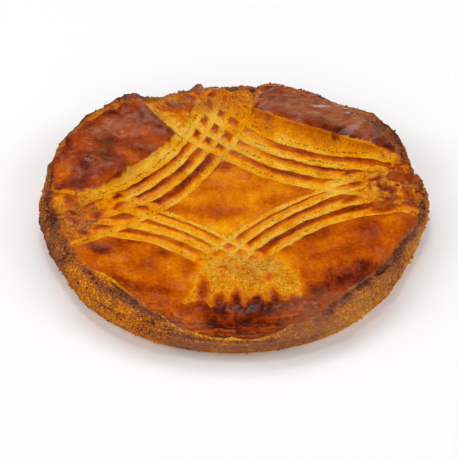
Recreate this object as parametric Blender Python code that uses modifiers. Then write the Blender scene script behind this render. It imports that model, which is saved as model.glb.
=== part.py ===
"""Breton butter cake: a round butter cake, glazed and scored with a four-tined fork, as one solid.

The turned loaf comes from a profile with a Screw modifier. Its surface is then moved, point by
point, by functions that describe the fork's grooves, the four plates of glazed skin between them,
the torn crumb beside them, the craggy edge and the cracked wall. A Decimate modifier keeps the
faces where the relief needs them.

The cake stands on z = 0, +Z up, with the origin in the middle of its flat base. -Y is the side
nearest in the photograph. Blender's unit is the metre; the sizes below are in millimetres.
"""

import itertools
import math

import bmesh
import bpy
import numpy as np

MM = 0.001
OBJECT_NAME = "breton_butter_cake"
NODE_NAME = "cake"

# The turned loaf, in millimetres.
WIDEST_RADIUS = 99.6       # the wall's bulge
WIDEST_HEIGHT = 11.5
BASE_RADIUS = 93.0
BASE_EDGE = 1.2            # rounding where the wall meets the base
RIM_RADIUS = 88.5          # crest of the raised edge
RIM_HEIGHT = 23.4
CENTRE_HEIGHT = 19.0
RIM_TILT = 0.9             # the far edge stands this much higher, the near edge this much lower

# Sampling of the turned loaf before its relief is made.
TOP_STEPS = 84
SHOULDER_STEPS = 14
WALL_STEPS = 12
BASE_STEPS = 3
TURN_STEPS = 540
KEPT_FACES = 11200         # triangles left after the Decimate modifier

# One pull of the fork leaves four grooves. Each groove is a bow: heading of its outward normal in
# degrees, distance of its middle from the cake's centre, radius of its bend, half width, depth.
FORK_PULLS = {
    "far_left": (
        (144.8, 22.6, 172.0, 2.1, 1.5),
        (143.6, 31.2, 125.0, 1.9, 1.5),
        (143.6, 39.2, 118.0, 1.9, 1.6),
        (143.8, 46.8, 112.0, 2.3, 1.9),
    ),
    "far_right": (
        (60.0, 25.3, 200.0, 2.3, 1.5),
        (60.6, 34.5, 140.0, 2.4, 1.5),
        (59.4, 43.4, 112.0, 2.6, 1.6),
        (59.6, 53.6, 118.0, 2.8, 1.8),
    ),
    "near_right": (
        (311.0, 20.1, 130.0, 1.7, 1.4),
        (312.2, 27.1, 118.0, 1.6, 1.4),
        (311.0, 34.4, 88.0, 2.0, 1.5),
        (311.4, 43.8, 66.0, 1.9, 1.5),
    ),
    "near_left": (
        (236.0, 26.9, 132.0, 1.7, 1.3),
        (236.0, 34.1, 120.0, 1.8, 1.4),
        (237.6, 41.9, 80.0, 1.9, 1.5),
        (238.0, 51.2, 70.0, 1.9, 1.5),
    ),
}

# The plate of skin outside each pull: heading, distance and bend of its inner edge, how far the
# edge is puffed up over the torn crumb, height of its lumps, and distance between its lumps.
PLATES = {
    "far_left": (143.4, 55.8, 127.0, 1.1, 1.7, 15.0),
    "far_right": (60.3, 67.0, 900.0, 1.7, 1.3, 22.0),
    "near_right": (311.6, 47.6, 66.0, 0.8, 0.8, 24.0),
    "near_left": (238.6, 53.4, 68.0, 0.7, 0.8, 24.0),
}
PLATE_EDGE = 2.2           # width of the slope at a plate's inner edge
TORN_DEPTH = 1.5           # the torn crumb beside a plate lies this deep

CRUMB_FILL = 0.45          # crumbs fill this share of the grooves where the skin broke up

# Patches where the crossing pulls broke the skin into crumbs: x, y, reach, depth, roughness, and how
# far the skin split into lumps.
CRUMBLED = (
    (2.0, -62.0, 18.0, 0.8, 0.8, 0.0),
    (-14.0, -69.0, 11.0, 0.6, 0.6, 0.0),
    (18.0, -69.0, 12.0, 0.6, 0.6, 0.0),
    (82.0, 8.0, 20.0, 0.4, 2.0, 1.0),
    (-80.0, -18.0, 16.0, 0.5, 0.9, 0.5),
    (2.0, 86.0, 12.0, 0.3, 0.7, 0.4),
    (-34.0, 75.0, 11.0, 0.3, 0.8, 0.5),
    (-48.0, 78.0, 8.0, 0.3, 0.8, 0.6),
)
CREVICE_DEPTH = 1.5        # between two lumps of split skin

# The fan of crumb where two pulls run off the near side. Its sides spread as it goes down the plan.
FAN_TOP = -47.0
FAN_BOTTOM = -81.0
FAN_LEFT = -17.6
FAN_LEFT_SLOPE = 0.17
FAN_RIGHT = 21.0
FAN_RIGHT_SLOPE = 0.43

# Ovals where the skin closed over the grooves again: x, y, half length, half width, turn in degrees.
HEALED = (
    (-14.0, 93.0, 32.0, 7.0, 0.0),
    (-58.0, 80.0, 18.0, 7.0, 30.0),
)

# Bumps of skin at the crossings: x, y, half length, half width, turn in degrees, height.
BUMPS = (
    (-72.7, -8.7, 5.4, 2.0, 44.0, 1.1),
    (-84.0, -5.0, 5.0, 3.0, -60.0, 1.2),
    (-86.0, -29.0, 5.0, 2.6, -50.0, 1.0),
    (84.4, 12.1, 5.6, 4.0, 0.0, 1.3),
    (91.7, 14.1, 5.0, 4.2, 70.0, 1.7),
    (89.4, -1.7, 5.0, 3.4, 80.0, 1.5),
    (84.0, 21.0, 5.0, 3.0, -30.0, 1.2),
    (81.0, -4.0, 5.0, 2.6, 10.0, 1.2),
    (-32.5, 75.0, 8.5, 2.9, -38.0, 0.8),
    (-52.0, 76.5, 7.0, 3.2, 8.0, 0.8),
)

# Uneven outline: heading in degrees, half width in degrees, reach outward, rise of the edge.
EDGE_SWELLS = (
    (160.0, 9.0, 2.6, 2.2),
    (142.0, 12.0, 6.4, 1.9),
    (127.0, 8.0, 1.6, 4.6),
    (107.0, 9.0, -0.4, -0.8),
    (88.0, 12.0, -0.4, 0.2),
    (66.0, 14.0, 0.9, 2.3),
    (40.0, 8.0, 3.4, 4.4),
    (29.0, 6.0, 1.8, 2.8),
    (17.0, 6.0, -0.8, -1.4),
    (3.0, 8.0, 1.1, 0.5),
    (-22.0, 13.0, -5.2, -0.4),
    (-42.0, 12.0, -3.4, -0.3),
    (-90.0, 16.0, -1.2, -1.0),
    (-130.0, 14.0, -1.0, 0.0),
    (-155.0, 12.0, -2.7, 0.0),
)

# The skin's edge: heading in degrees, radius, height of its lip, depth of the trench outside it, and
# height of the rolled rim outside that.
SKIN_EDGE = (
    (-165.0, 90.5, 0.2, 0.4, 0.0),
    (-148.0, 89.5, 0.3, 0.5, 0.2),
    (-138.0, 88.4, 0.7, 1.2, 0.4),
    (-130.0, 88.4, 1.0, 1.6, 0.6),
    (-122.0, 90.0, 0.8, 1.5, 0.6),
    (-114.0, 93.6, 0.4, 1.0, 0.4),
    (-104.0, 97.0, 0.2, 0.4, 0.0),
    (-88.0, 98.0, 0.2, 0.4, 0.0),
    (-72.0, 97.4, 0.2, 0.5, 0.0),
    (-62.0, 94.4, 0.3, 0.8, 0.2),
    (-53.0, 90.6, 0.7, 1.4, 0.6),
    (-45.0, 89.6, 1.0, 1.7, 0.8),
    (-32.0, 89.4, 1.0, 1.8, 0.8),
    (-21.0, 90.4, 0.7, 1.8, 1.0),
    (-14.0, 93.0, 0.5, 1.7, 0.6),
    (-5.0, 95.5, 0.4, 1.6, 0.4),
    (4.0, 97.0, 0.3, 1.2, 0.3),
    (15.0, 96.5, 0.3, 0.6, 0.2),
    (24.0, 94.0, 0.4, 0.6, 0.0),
    (32.0, 95.5, 0.3, 0.4, 0.0),
    (44.0, 97.0, 0.3, 0.4, 0.0),
    (58.0, 95.0, 0.2, 0.3, 0.0),
    (84.0, 91.0, 0.2, 0.3, 0.0),
    (124.0, 92.5, 0.2, 0.4, 0.0),
    (134.0, 97.0, 0.2, 0.3, 0.0),
    (146.0, 98.5, 0.2, 0.3, 0.0),
    (160.0, 95.0, 0.2, 0.3, 0.0),
    (172.0, 92.0, 0.2, 0.4, 0.0),
)
SHOULDER_RUN = 17.5        # length of the surface from the crest to the bulge
LIP_REACH = 3.0            # the lip fades inward over this length
TRENCH_PLACE = 1.7         # the trench's middle outside the skin's edge
TRENCH_WIDTH = 1.3
ROLL_PLACE = 4.2           # the rolled rim's middle outside the skin's edge
ROLL_WIDTH = 2.0
RIM_CRAGS = 0.9

# Holes where two ridges break over the far edge: x, y, reach, depth.
EDGE_HOLES = (
    (-1.0, 91.0, 2.6, 2.2),
    (10.0, 89.5, 2.2, 1.6),
    (-63.0, 66.0, 3.0, 1.4),
)

# Slits between the layers of dough in the wall: heading, half length in degrees, height, depth.
WALL_SLITS = (
    (-97.0, 26.0, 12.5, 1.1),
    (-84.0, 30.0, 8.0, 0.9),
    (-128.0, 16.0, 15.0, 1.0),
    (-34.0, 18.0, 12.0, 1.0),
    (-20.0, 14.0, 7.5, 0.8),
    (172.0, 20.0, 13.0, 0.9),
    (110.0, 22.0, 10.0, 0.8),
    (55.0, 20.0, 13.0, 0.9),
)
SLIT_HALF_HEIGHT = 1.1
WALL_LUMPS = 0.9
WALL_CRAGS = 0.6


def smooth(value, start, end):
    """Rise from 0 at start to 1 at end without a corner."""
    ratio = np.clip((value - start) / (end - start), 0.0, 1.0)
    return ratio * ratio * (3.0 - 2.0 * ratio)


def noise(points, size, seed):
    """Give smooth random values from -1 to 1 with features about one size apart."""
    cell = points / size
    corner = np.floor(cell).astype(np.int64)
    part = cell - corner
    blend = part * part * part * (part * (part * 6.0 - 15.0) + 10.0)
    total = np.zeros(len(points))
    for step in itertools.product((0, 1), repeat=3):
        key = (corner + step) @ np.array((374761393, 668265263, 2147483647)) + seed * 974634777
        key = ((key ^ (key >> 13)) * 1274126177) & 0x7FFFFFFF
        value = ((key ^ (key >> 15)) & 0xFFFF) / 32767.5 - 1.0
        weight = np.prod(np.where(step, blend, 1.0 - blend), axis=1)
        total += value * weight
    return total


def layered_noise(points, size, layers, seed):
    """Add finer and weaker layers to the smooth noise."""
    total = np.zeros(len(points))
    for layer in range(layers):
        total += noise(points, size / 2.0**layer, seed + layer) / 2.0**layer
    return total


def turn_apart(heading, other):
    """Give the signed angle from one heading to another, in degrees."""
    return (heading - other + 180.0) % 360.0 - 180.0


def beyond_bow(x, y, heading, offset, bend):
    """Give how far each point lies outside a bow that is bent towards the cake's middle."""
    turn = math.radians(heading)
    across = x * math.cos(turn) + y * math.sin(turn)
    along = y * math.cos(turn) - x * math.sin(turn)
    slope = along / bend
    return (across - offset - along * slope / 2.0) / np.sqrt(1.0 + slope * slope)


def edge_swell(heading, column):
    """Add up one column of the edge's swells at each heading: 2 is reach, 3 is rise."""
    total = np.zeros_like(heading)
    for swell in EDGE_SWELLS:
        total += swell[column] * np.exp(-((turn_apart(heading, swell[0]) / swell[1]) ** 2))
    return total


def oval_distance(x, y, oval):
    """Give each point's distance from an oval's middle: 1 on its outline."""
    centre_x, centre_y, half_length, half_width, degrees = oval
    turn = math.radians(degrees)
    along = (x - centre_x) * math.cos(turn) + (y - centre_y) * math.sin(turn)
    across = (y - centre_y) * math.cos(turn) - (x - centre_x) * math.sin(turn)
    return np.hypot(along / half_length, across / half_width)


def near_patch(x, y, patch):
    """Give 1 at a patch's middle, falling to 0 outside its reach."""
    return np.exp(-((((x - patch[0]) ** 2 + (y - patch[1]) ** 2) / patch[2] ** 2) ** 1.5))


def fan_cover(x, y, spot):
    """Tell how far each point lies inside the fan of crumb, from 0 to 1."""
    down = FAN_TOP - y
    inside = np.minimum(x - FAN_LEFT + FAN_LEFT_SLOPE * down, FAN_RIGHT + FAN_RIGHT_SLOPE * down - x)
    inside = np.minimum(inside, y - FAN_BOTTOM)
    wander = 1.3 * noise(spot, 7.0, 125) + 0.7 * noise(spot, 2.6, 126)
    return smooth(inside + wander, -1.2, 1.4) * smooth(down, -4.0, 6.0)


def beside_fan(x, y, spot):
    """Tell which points lie level with the fan but outside it, where no groove shows."""
    return smooth(FAN_TOP - y, 0.0, 6.0) * (1.0 - fan_cover(x, y, spot))


def broken_skin(x, y, spot):
    """Tell how far each point lies inside the patches of broken skin, from 0 to 1."""
    cover = np.zeros_like(x)
    for patch in CRUMBLED:
        cover = np.maximum(cover, near_patch(x, y, patch))
    return np.maximum(cover * (1.0 - beside_fan(x, y, spot)), fan_cover(x, y, spot))


def scoring(x, y, spot):
    """Depth of the grooves and the torn crumb at each point, in millimetres."""
    wander = 0.7 * noise(spot, 16.0, 11) + 0.35 * noise(spot, 5.0, 12)
    depth = np.zeros_like(x)
    shown = 1.0 - beside_fan(x, y, spot)
    for name, tines in FORK_PULLS.items():
        for heading, offset, bend, half_width, groove_depth in tines:
            aside = np.abs(beyond_bow(x, y, heading, offset, bend) + wander)
            floor = 1.0 - smooth(aside, 0.25 * half_width, 1.8 * half_width)
            depth = np.maximum(depth, groove_depth * floor)
        last = beyond_bow(x, y, *tines[-1][:3]) + wander
        plate = beyond_bow(x, y, *PLATES[name][:3]) + wander
        torn = smooth(last, -1.0, 1.0) * (1.0 - smooth(plate, -PLATE_EDGE, 0.0))
        depth = np.maximum(depth, TORN_DEPTH * torn * shown)
    depth = depth * (1.0 - CRUMB_FILL * broken_skin(x, y, spot)) * shown
    for oval in HEALED:
        depth = depth * smooth(oval_distance(x, y, oval), 0.6, 1.2)
    return depth


def pull_cover(x, y, name, wander, spot):
    """Tell which points lie in the strip that one pull of the fork covers."""
    first = beyond_bow(x, y, *FORK_PULLS[name][0][:3]) + wander
    plate = beyond_bow(x, y, *PLATES[name][:3]) + wander
    strip = smooth(first, -2.5, 0.0) * (1.0 - smooth(plate, -1.0, 2.0))
    return strip * (1.0 - beside_fan(x, y, spot))


def plate_relief(x, y, spot):
    """Height of the four puffed plates and their lumps, in millimetres."""
    wander = 1.2 * noise(spot, 14.0, 21)
    height = np.zeros_like(x)
    for seed, (name, plate) in enumerate(PLATES.items()):
        inside = beyond_bow(x, y, *plate[:3]) + wander
        cover = smooth(inside, -PLATE_EDGE, 0.4)
        for other in PLATES:
            if other != name:
                cover = cover * (1.0 - pull_cover(x, y, other, wander, spot))
        puff, lumps, spacing = plate[3:]
        bulge = puff * (0.35 + 0.65 * np.exp(-((inside - 5.0) / 9.0) ** 2))
        bumps = lumps * layered_noise(spot, spacing, 3, 31 + 5 * seed)
        height += cover * (bulge + bumps)
    return height


def crumble(x, y, spot):
    """Lower, roughen and split the patches where the skin broke into crumbs."""
    middle = np.abs(noise(spot, 8.0, 65) + 0.3 * noise(spot, 3.0, 66))
    crevice = CREVICE_DEPTH * (1.0 - smooth(middle, 0.02, 0.26))
    grain = layered_noise(spot, 6.0, 2, 61) - 0.5 * np.abs(noise(spot, 3.6, 64))
    height = np.zeros_like(x)
    split = np.zeros_like(x)
    for patch in CRUMBLED:
        near = near_patch(x, y, patch)
        height += near * (patch[4] * grain - patch[3])
        split = np.maximum(split, patch[5] * near)
    height -= split * crevice
    for bump in BUMPS:
        height += bump[5] * (1.0 - smooth(oval_distance(x, y, bump[:5]), 0.65, 1.35))
    return height


def along_edge(heading, column):
    """Give one column of the skin's edge at each heading: 1 radius, 2 lip, 3 trench, 4 roll."""
    headings = [stop[0] for stop in SKIN_EDGE]
    values = [stop[column] for stop in SKIN_EDGE]
    return np.interp(heading, headings, values, period=360.0)


def outside_skin(place, radius, heading):
    """Give how far outside the skin's edge each point lies, along the cake's surface."""
    shoulder = WIDEST_RADIUS - RIM_RADIUS
    crest = RIM_RADIUS + edge_swell(heading, 2)
    out = np.maximum((radius - crest) / shoulder, 0.0)
    up = (place[:, 2] - WIDEST_HEIGHT) / (RIM_HEIGHT + edge_swell(heading, 3) - WIDEST_HEIGHT)
    turn = np.arctan2(out, np.maximum(up, 1e-3)) / (math.pi / 2.0)
    run = np.where(radius < crest, radius - crest, SHOULDER_RUN * turn)
    edge = along_edge(heading, 1) - crest
    edge_turn = np.arcsin(np.clip(edge / shoulder, 0.0, 1.0)) / (math.pi / 2.0)
    edge_run = np.where(edge < 0.0, edge, SHOULDER_RUN * edge_turn)
    return run - edge_run + 0.9 * noise(place, 9.0, 76) + 0.6 * noise(place, 3.5, 77)


def edge_relief(x, y, place):
    """Crags, the skin's lip, the trench, the rolled rim and the holes along the cake's edge."""
    radius = np.hypot(x, y)
    heading = np.degrees(np.arctan2(y, x))
    outside = outside_skin(place, radius, heading)
    height = RIM_CRAGS * smooth(radius, 78.0, 90.0) * layered_noise(place, 12.0, 3, 71)
    inward = np.exp(-np.maximum(-outside, 0.0) / LIP_REACH)
    height += along_edge(heading, 2) * smooth(-outside, -0.5, 0.6) * inward
    gaps = 0.75 + 0.5 * noise(place, 7.0, 79)
    height -= gaps * along_edge(heading, 3) * np.exp(-(((outside - TRENCH_PLACE) / TRENCH_WIDTH) ** 2))
    height += along_edge(heading, 4) * np.exp(-(((outside - ROLL_PLACE) / ROLL_WIDTH) ** 2))
    for hole_x, hole_y, reach, depth in EDGE_HOLES:
        height -= depth * np.exp(-((x - hole_x) ** 2 + (y - hole_y) ** 2) / reach**2)
    return height


def top_relief(place):
    """Rise of the top over the plain turned loaf at each point, in millimetres."""
    x, y = place[:, 0], place[:, 1]
    spot = np.column_stack((x, y, np.zeros_like(x)))
    skin = 0.35 * layered_noise(spot, 30.0, 3, 41)
    total = skin + plate_relief(x, y, spot) - scoring(x, y, spot)
    return total + crumble(x, y, spot) + edge_relief(x, y, place)


def wall_relief(points, heading):
    """How far the wall stands out from the plain turned loaf at each point, in millimetres."""
    bulge = WALL_LUMPS * layered_noise(points, 22.0, 2, 81)
    crags = WALL_CRAGS * layered_noise(points * (1.0, 1.0, 1.8), 6.0, 2, 85)
    total = bulge + crags
    drift = 1.2 * noise(points, 18.0, 91)
    for centre, reach, height, depth in WALL_SLITS:
        along = np.exp(-((turn_apart(heading, centre) / reach) ** 4))
        open_part = np.exp(-(((points[:, 2] - height + drift) / SLIT_HALF_HEIGHT) ** 2))
        total -= depth * along * open_part
    return total


def loaf_profile():
    """List the turned loaf's half outline, from the top's centre round to the base's centre."""
    outline = []
    for step in range(TOP_STEPS):
        ratio = step / TOP_STEPS
        lift = (1.0 - math.cos(math.pi * ratio)) / 2.0
        outline.append((RIM_RADIUS * ratio, CENTRE_HEIGHT + (RIM_HEIGHT - CENTRE_HEIGHT) * lift))
    for step in range(SHOULDER_STEPS):
        turn = math.pi / 2.0 * step / SHOULDER_STEPS
        out = (WIDEST_RADIUS - RIM_RADIUS) * math.sin(turn)
        up = (RIM_HEIGHT - WIDEST_HEIGHT) * math.cos(turn)
        outline.append((RIM_RADIUS + out, WIDEST_HEIGHT + up))
    for step in range(WALL_STEPS + 1):
        height = WIDEST_HEIGHT - (WIDEST_HEIGHT - BASE_EDGE) * step / WALL_STEPS
        ratio = height / WIDEST_HEIGHT
        bulge = (ratio + math.sin(math.pi / 2.0 * ratio)) / 2.0
        outline.append((BASE_RADIUS + (WIDEST_RADIUS - BASE_RADIUS) * bulge, height))
    last = outline[-1][0]
    for step in range(1, BASE_STEPS + 1):
        turn = math.pi / 2.0 * step / BASE_STEPS
        outline.append((last - BASE_EDGE * (1.0 - math.cos(turn)), BASE_EDGE * (1.0 - math.sin(turn))))
    for step in range(1, BASE_STEPS):
        outline.append(((last - BASE_EDGE) * (1.0 - step / BASE_STEPS), 0.0))
    outline.append((0.0, 0.0))
    return outline


def turn_loaf(collection):
    """Turn the profile with a Screw modifier and give the closed loaf as a new mesh."""
    outline = bmesh.new()
    points = [outline.verts.new((radius * MM, 0.0, height * MM)) for radius, height in loaf_profile()]
    for upper, lower in itertools.pairwise(points):
        outline.edges.new((upper, lower))
    mesh = bpy.data.meshes.new("loaf_profile")
    outline.to_mesh(mesh)
    outline.free()
    turned = bpy.data.objects.new("loaf_profile", mesh)
    collection.objects.link(turned)
    screw = turned.modifiers.new("turn", "SCREW")
    screw.axis = "Z"
    screw.steps = TURN_STEPS
    screw.render_steps = TURN_STEPS
    screw.use_merge_vertices = True
    screw.merge_threshold = 0.01 * MM
    graph = bpy.context.evaluated_depsgraph_get()
    loaf = bpy.data.meshes.new_from_object(turned.evaluated_get(graph))
    bpy.data.objects.remove(turned)
    bpy.data.meshes.remove(mesh)
    return loaf


def shape_points(plain):
    """Move the plain loaf's points to the cake's true surface, all in millimetres."""
    radius = np.hypot(plain[:, 0], plain[:, 1])
    heading = np.degrees(np.arctan2(plain[:, 1], plain[:, 0]))
    out = np.column_stack((plain[:, 0], plain[:, 1])) / np.maximum(radius, 1e-6)[:, None]

    outer = smooth(radius, 60.0, WIDEST_RADIUS)
    above = smooth(plain[:, 2], 1.0, WIDEST_HEIGHT)
    reach = edge_swell(heading, 2) * outer * (0.35 + 0.65 * above)
    shaped = plain.copy()
    shaped[:, :2] += out * reach[:, None]

    top = np.where(radius < RIM_RADIUS, 1.0, smooth(plain[:, 2], WIDEST_HEIGHT, RIM_HEIGHT - 2.0))
    top = np.where(plain[:, 2] > WIDEST_HEIGHT, top, 0.0)
    tilt = RIM_TILT * plain[:, 1] / RIM_RADIUS
    rise = edge_swell(heading, 3) * smooth(radius, 62.0, RIM_RADIUS)
    shaped[:, 2] += top * (top_relief(shaped) + tilt + rise)

    wall = smooth(radius, RIM_RADIUS, WIDEST_RADIUS - 3.0) * smooth(plain[:, 2], 0.0, 2.5)
    wall = np.where(plain[:, 2] > 0.01, wall, 0.0)
    shaped[:, :2] += out * (wall * wall_relief(shaped, heading))[:, None]
    return shaped


def bake_material():
    """Make the browned, glazed crust."""
    material = bpy.data.materials.new("golden_crust")
    material.use_nodes = True
    shader = material.node_tree.nodes["Principled BSDF"]
    shader.inputs["Base Color"].default_value = (0.52, 0.19, 0.035, 1.0)
    shader.inputs["Roughness"].default_value = 0.42
    shader.inputs["Metallic"].default_value = 0.0
    return material


def build_cake():
    """Make the cake's one solid in a collection named for the object."""
    for item in list(bpy.data.objects):
        bpy.data.objects.remove(item)
    collection = bpy.data.collections.new(OBJECT_NAME)
    bpy.context.scene.collection.children.link(collection)

    mesh = turn_loaf(collection)
    mesh.name = NODE_NAME
    plain = np.empty(len(mesh.vertices) * 3)
    mesh.vertices.foreach_get("co", plain)
    shaped = shape_points(plain.reshape(-1, 3) / MM) * MM
    mesh.vertices.foreach_set("co", shaped.ravel())
    mesh.update()
    mesh.materials.append(bake_material())
    mesh.shade_smooth()

    cake = bpy.data.objects.new(NODE_NAME, mesh)
    collection.objects.link(cake)
    thin = cake.modifiers.new("keep_what_the_relief_needs", "DECIMATE")
    mesh.calc_loop_triangles()
    thin.ratio = KEPT_FACES / len(mesh.loop_triangles)


build_cake()
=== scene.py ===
"""Dress the breton butter cake: its glazed skin, torn crumb, cracked wall, light and camera.

The cake is one mesh. A turned loaf is moved point by point by the same named sizes that shape the
solid it replaces, with finer relief on top. Every point then carries values that say how it baked,
such as how brown its skin is and how bare its crumb, and where shade, sheen and glints are painted
into its colour; the finish reads those values.

Lengths are millimetres inside the shaping classes and metres on the finished meshes.
"""

from __future__ import annotations

import itertools
import logging
import math
from dataclasses import astuple, dataclass
from enum import Enum
from functools import cached_property
from typing import Any

import bmesh
import bpy
import numpy as np
from mathutils import Euler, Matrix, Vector

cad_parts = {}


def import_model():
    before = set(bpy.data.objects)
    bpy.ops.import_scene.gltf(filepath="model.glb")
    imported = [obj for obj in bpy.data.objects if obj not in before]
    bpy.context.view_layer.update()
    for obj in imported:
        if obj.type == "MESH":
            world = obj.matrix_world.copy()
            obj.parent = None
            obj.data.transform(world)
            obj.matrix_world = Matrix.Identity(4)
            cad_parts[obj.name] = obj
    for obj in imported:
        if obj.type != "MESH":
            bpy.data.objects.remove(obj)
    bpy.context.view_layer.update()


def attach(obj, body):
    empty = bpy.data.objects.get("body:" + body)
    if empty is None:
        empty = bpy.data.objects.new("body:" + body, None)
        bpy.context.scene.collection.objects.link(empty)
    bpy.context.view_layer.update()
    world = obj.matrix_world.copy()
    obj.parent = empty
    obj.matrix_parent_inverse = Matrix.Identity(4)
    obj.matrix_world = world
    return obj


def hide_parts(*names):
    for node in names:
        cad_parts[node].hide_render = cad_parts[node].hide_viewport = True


LOG = logging.getLogger("butter_cake")
MM = 0.001
NODE = "cake"
BAKE_MAP = "OFBake"

Array = np.ndarray


# ---------- number helpers


def smooth(value: Array, start: float | Array, end: float | Array) -> Array:
    """Rise from 0 at start to 1 at end without a corner; start may be the greater one."""
    ratio = np.clip((value - start) / (end - start), 0.0, 1.0)
    return ratio * ratio * (3.0 - 2.0 * ratio)


def bell(value: Array, middle: float, width: float, power: float = 2.0) -> Array:
    """Give 1 at the middle, 1/e one width away from it and 0 far away."""
    return np.exp(-(np.abs((value - middle) / width) ** power))


def noise(points: Array, size: float, seed: int) -> Array:
    """Give smooth random values with features about one size apart.

    Args:
        points: rows of x, y, z.
        size: distance between features.
        seed: picks the pattern.

    Returns:
        One number from -1 to 1 for each point.
    """
    cell = points / size
    corner = np.floor(cell).astype(np.int64)
    part = cell - corner
    blend = part * part * part * (part * (part * 6.0 - 15.0) + 10.0)
    total = np.zeros(len(points))
    for step in itertools.product((0, 1), repeat=3):
        key = (corner + step) @ np.array((374761393, 668265263, 2147483647)) + seed * 974634777
        key = ((key ^ (key >> 13)) * 1274126177) & 0x7FFFFFFF
        value = ((key ^ (key >> 15)) & 0xFFFF) / 32767.5 - 1.0
        total += value * np.prod(np.where(step, blend, 1.0 - blend), axis=1)
    return total


def layered_noise(points: Array, size: float, layers: int, seed: int) -> Array:
    """Add layers of noise, each half as large and half as strong as the one before."""
    parts = [noise(points, size / 2.0**layer, seed + layer) / 2.0**layer for layer in range(layers)]
    return np.sum(parts, axis=0)


def turn_apart(heading: Array, other: float) -> Array:
    """Give the signed angle from one heading to the others, in degrees."""
    return (heading - other + 180.0) % 360.0 - 180.0


def turned(x: Array, y: Array, degrees: float) -> tuple[Array, Array]:
    """Give how far plan places lie along a heading, and how far to its left."""
    turn = math.radians(degrees)
    return x * math.cos(turn) + y * math.sin(turn), y * math.cos(turn) - x * math.sin(turn)


# ---------- mesh helpers


def add_object(name: str, data: bpy.types.ID) -> bpy.types.Object:
    """Put data into the scene as a new object.

    Args:
        name: the object's name.
        data: its mesh, light or camera.

    Returns:
        The object.
    """
    made = bpy.data.objects.new(name, data)
    bpy.context.scene.collection.objects.link(made)
    return made


def modified(mesh: bpy.types.Mesh, kind: str, settings: dict[str, Any]) -> bpy.types.Mesh:
    """Replace a mesh by what one modifier makes of it.

    Args:
        mesh: the mesh, which is removed.
        kind: the modifier's type.
        settings: the modifier's settings.

    Returns:
        The new mesh.
    """
    holder = add_object("loaf", mesh)
    modifier = holder.modifiers.new("shape", kind)
    for name, value in settings.items():
        setattr(modifier, name, value)
    graph = bpy.context.evaluated_depsgraph_get()
    made = bpy.data.meshes.new_from_object(holder.evaluated_get(graph))
    bpy.data.objects.remove(holder)
    bpy.data.meshes.remove(mesh)
    return made


def points_of(mesh: bpy.types.Mesh) -> Array:
    """Give a mesh's points.

    Args:
        mesh: the mesh, in metres.

    Returns:
        Rows of x, y, z in millimetres.
    """
    flat = np.empty(len(mesh.vertices) * 3)
    mesh.vertices.foreach_get("co", flat)
    return flat.reshape(-1, 3) / MM


def triangles_of(mesh: bpy.types.Mesh) -> Array:
    """Give the three corners of each face.

    Args:
        mesh: a mesh of triangles.

    Returns:
        Rows of point numbers.
    """
    corners = np.empty(len(mesh.loops), dtype=np.int64)
    mesh.loops.foreach_get("vertex_index", corners)
    return corners.reshape(-1, 3)


def carry(mesh: bpy.types.Mesh, value: Baked, numbers: Array) -> None:
    """Store one number for each point of the mesh."""
    layer = mesh.attributes.new(value.value, "FLOAT", "POINT")
    layer.data.foreach_set("value", numbers.astype(np.float32))


# ---------- shader maths


class Signal:
    """One output of a shader node. Python's operators add Math nodes to it."""

    def __init__(self, tree: FinishTree, socket: bpy.types.NodeSocket) -> None:
        """Keep the tree and the socket."""
        self.tree = tree
        self.socket = socket

    def _maths(self, operation: str, first: Any, second: Any) -> Signal:
        """Add one Math node with two values."""
        return self.tree.node("ShaderNodeMath", {"operation": operation}, {0: first, 1: second})

    def __add__(self, other: Any) -> Signal:
        """Add."""
        return self._maths("ADD", self, other)

    __radd__ = __add__

    def __sub__(self, other: Any) -> Signal:
        """Subtract."""
        return self._maths("SUBTRACT", self, other)

    def __rsub__(self, other: Any) -> Signal:
        """Subtract this from a number."""
        return self._maths("SUBTRACT", other, self)

    def __mul__(self, other: Any) -> Signal:
        """Multiply."""
        return self._maths("MULTIPLY", self, other)

    __rmul__ = __mul__

    def clamped(self) -> Signal:
        """Hold the value between 0 and 1."""
        return self.tree.node("ShaderNodeClamp", {}, {"Value": self, "Min": 0.0, "Max": 1.0})

    def rise(self, start: float, end: float) -> Signal:
        """Rise smoothly from 0 where the value is start to 1 where it is end."""
        places = {"Value": self, "From Min": start, "From Max": end, "To Min": 0.0, "To Max": 1.0}
        return self.tree.node("ShaderNodeMapRange", {"interpolation_type": "SMOOTHSTEP"}, places)


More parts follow.
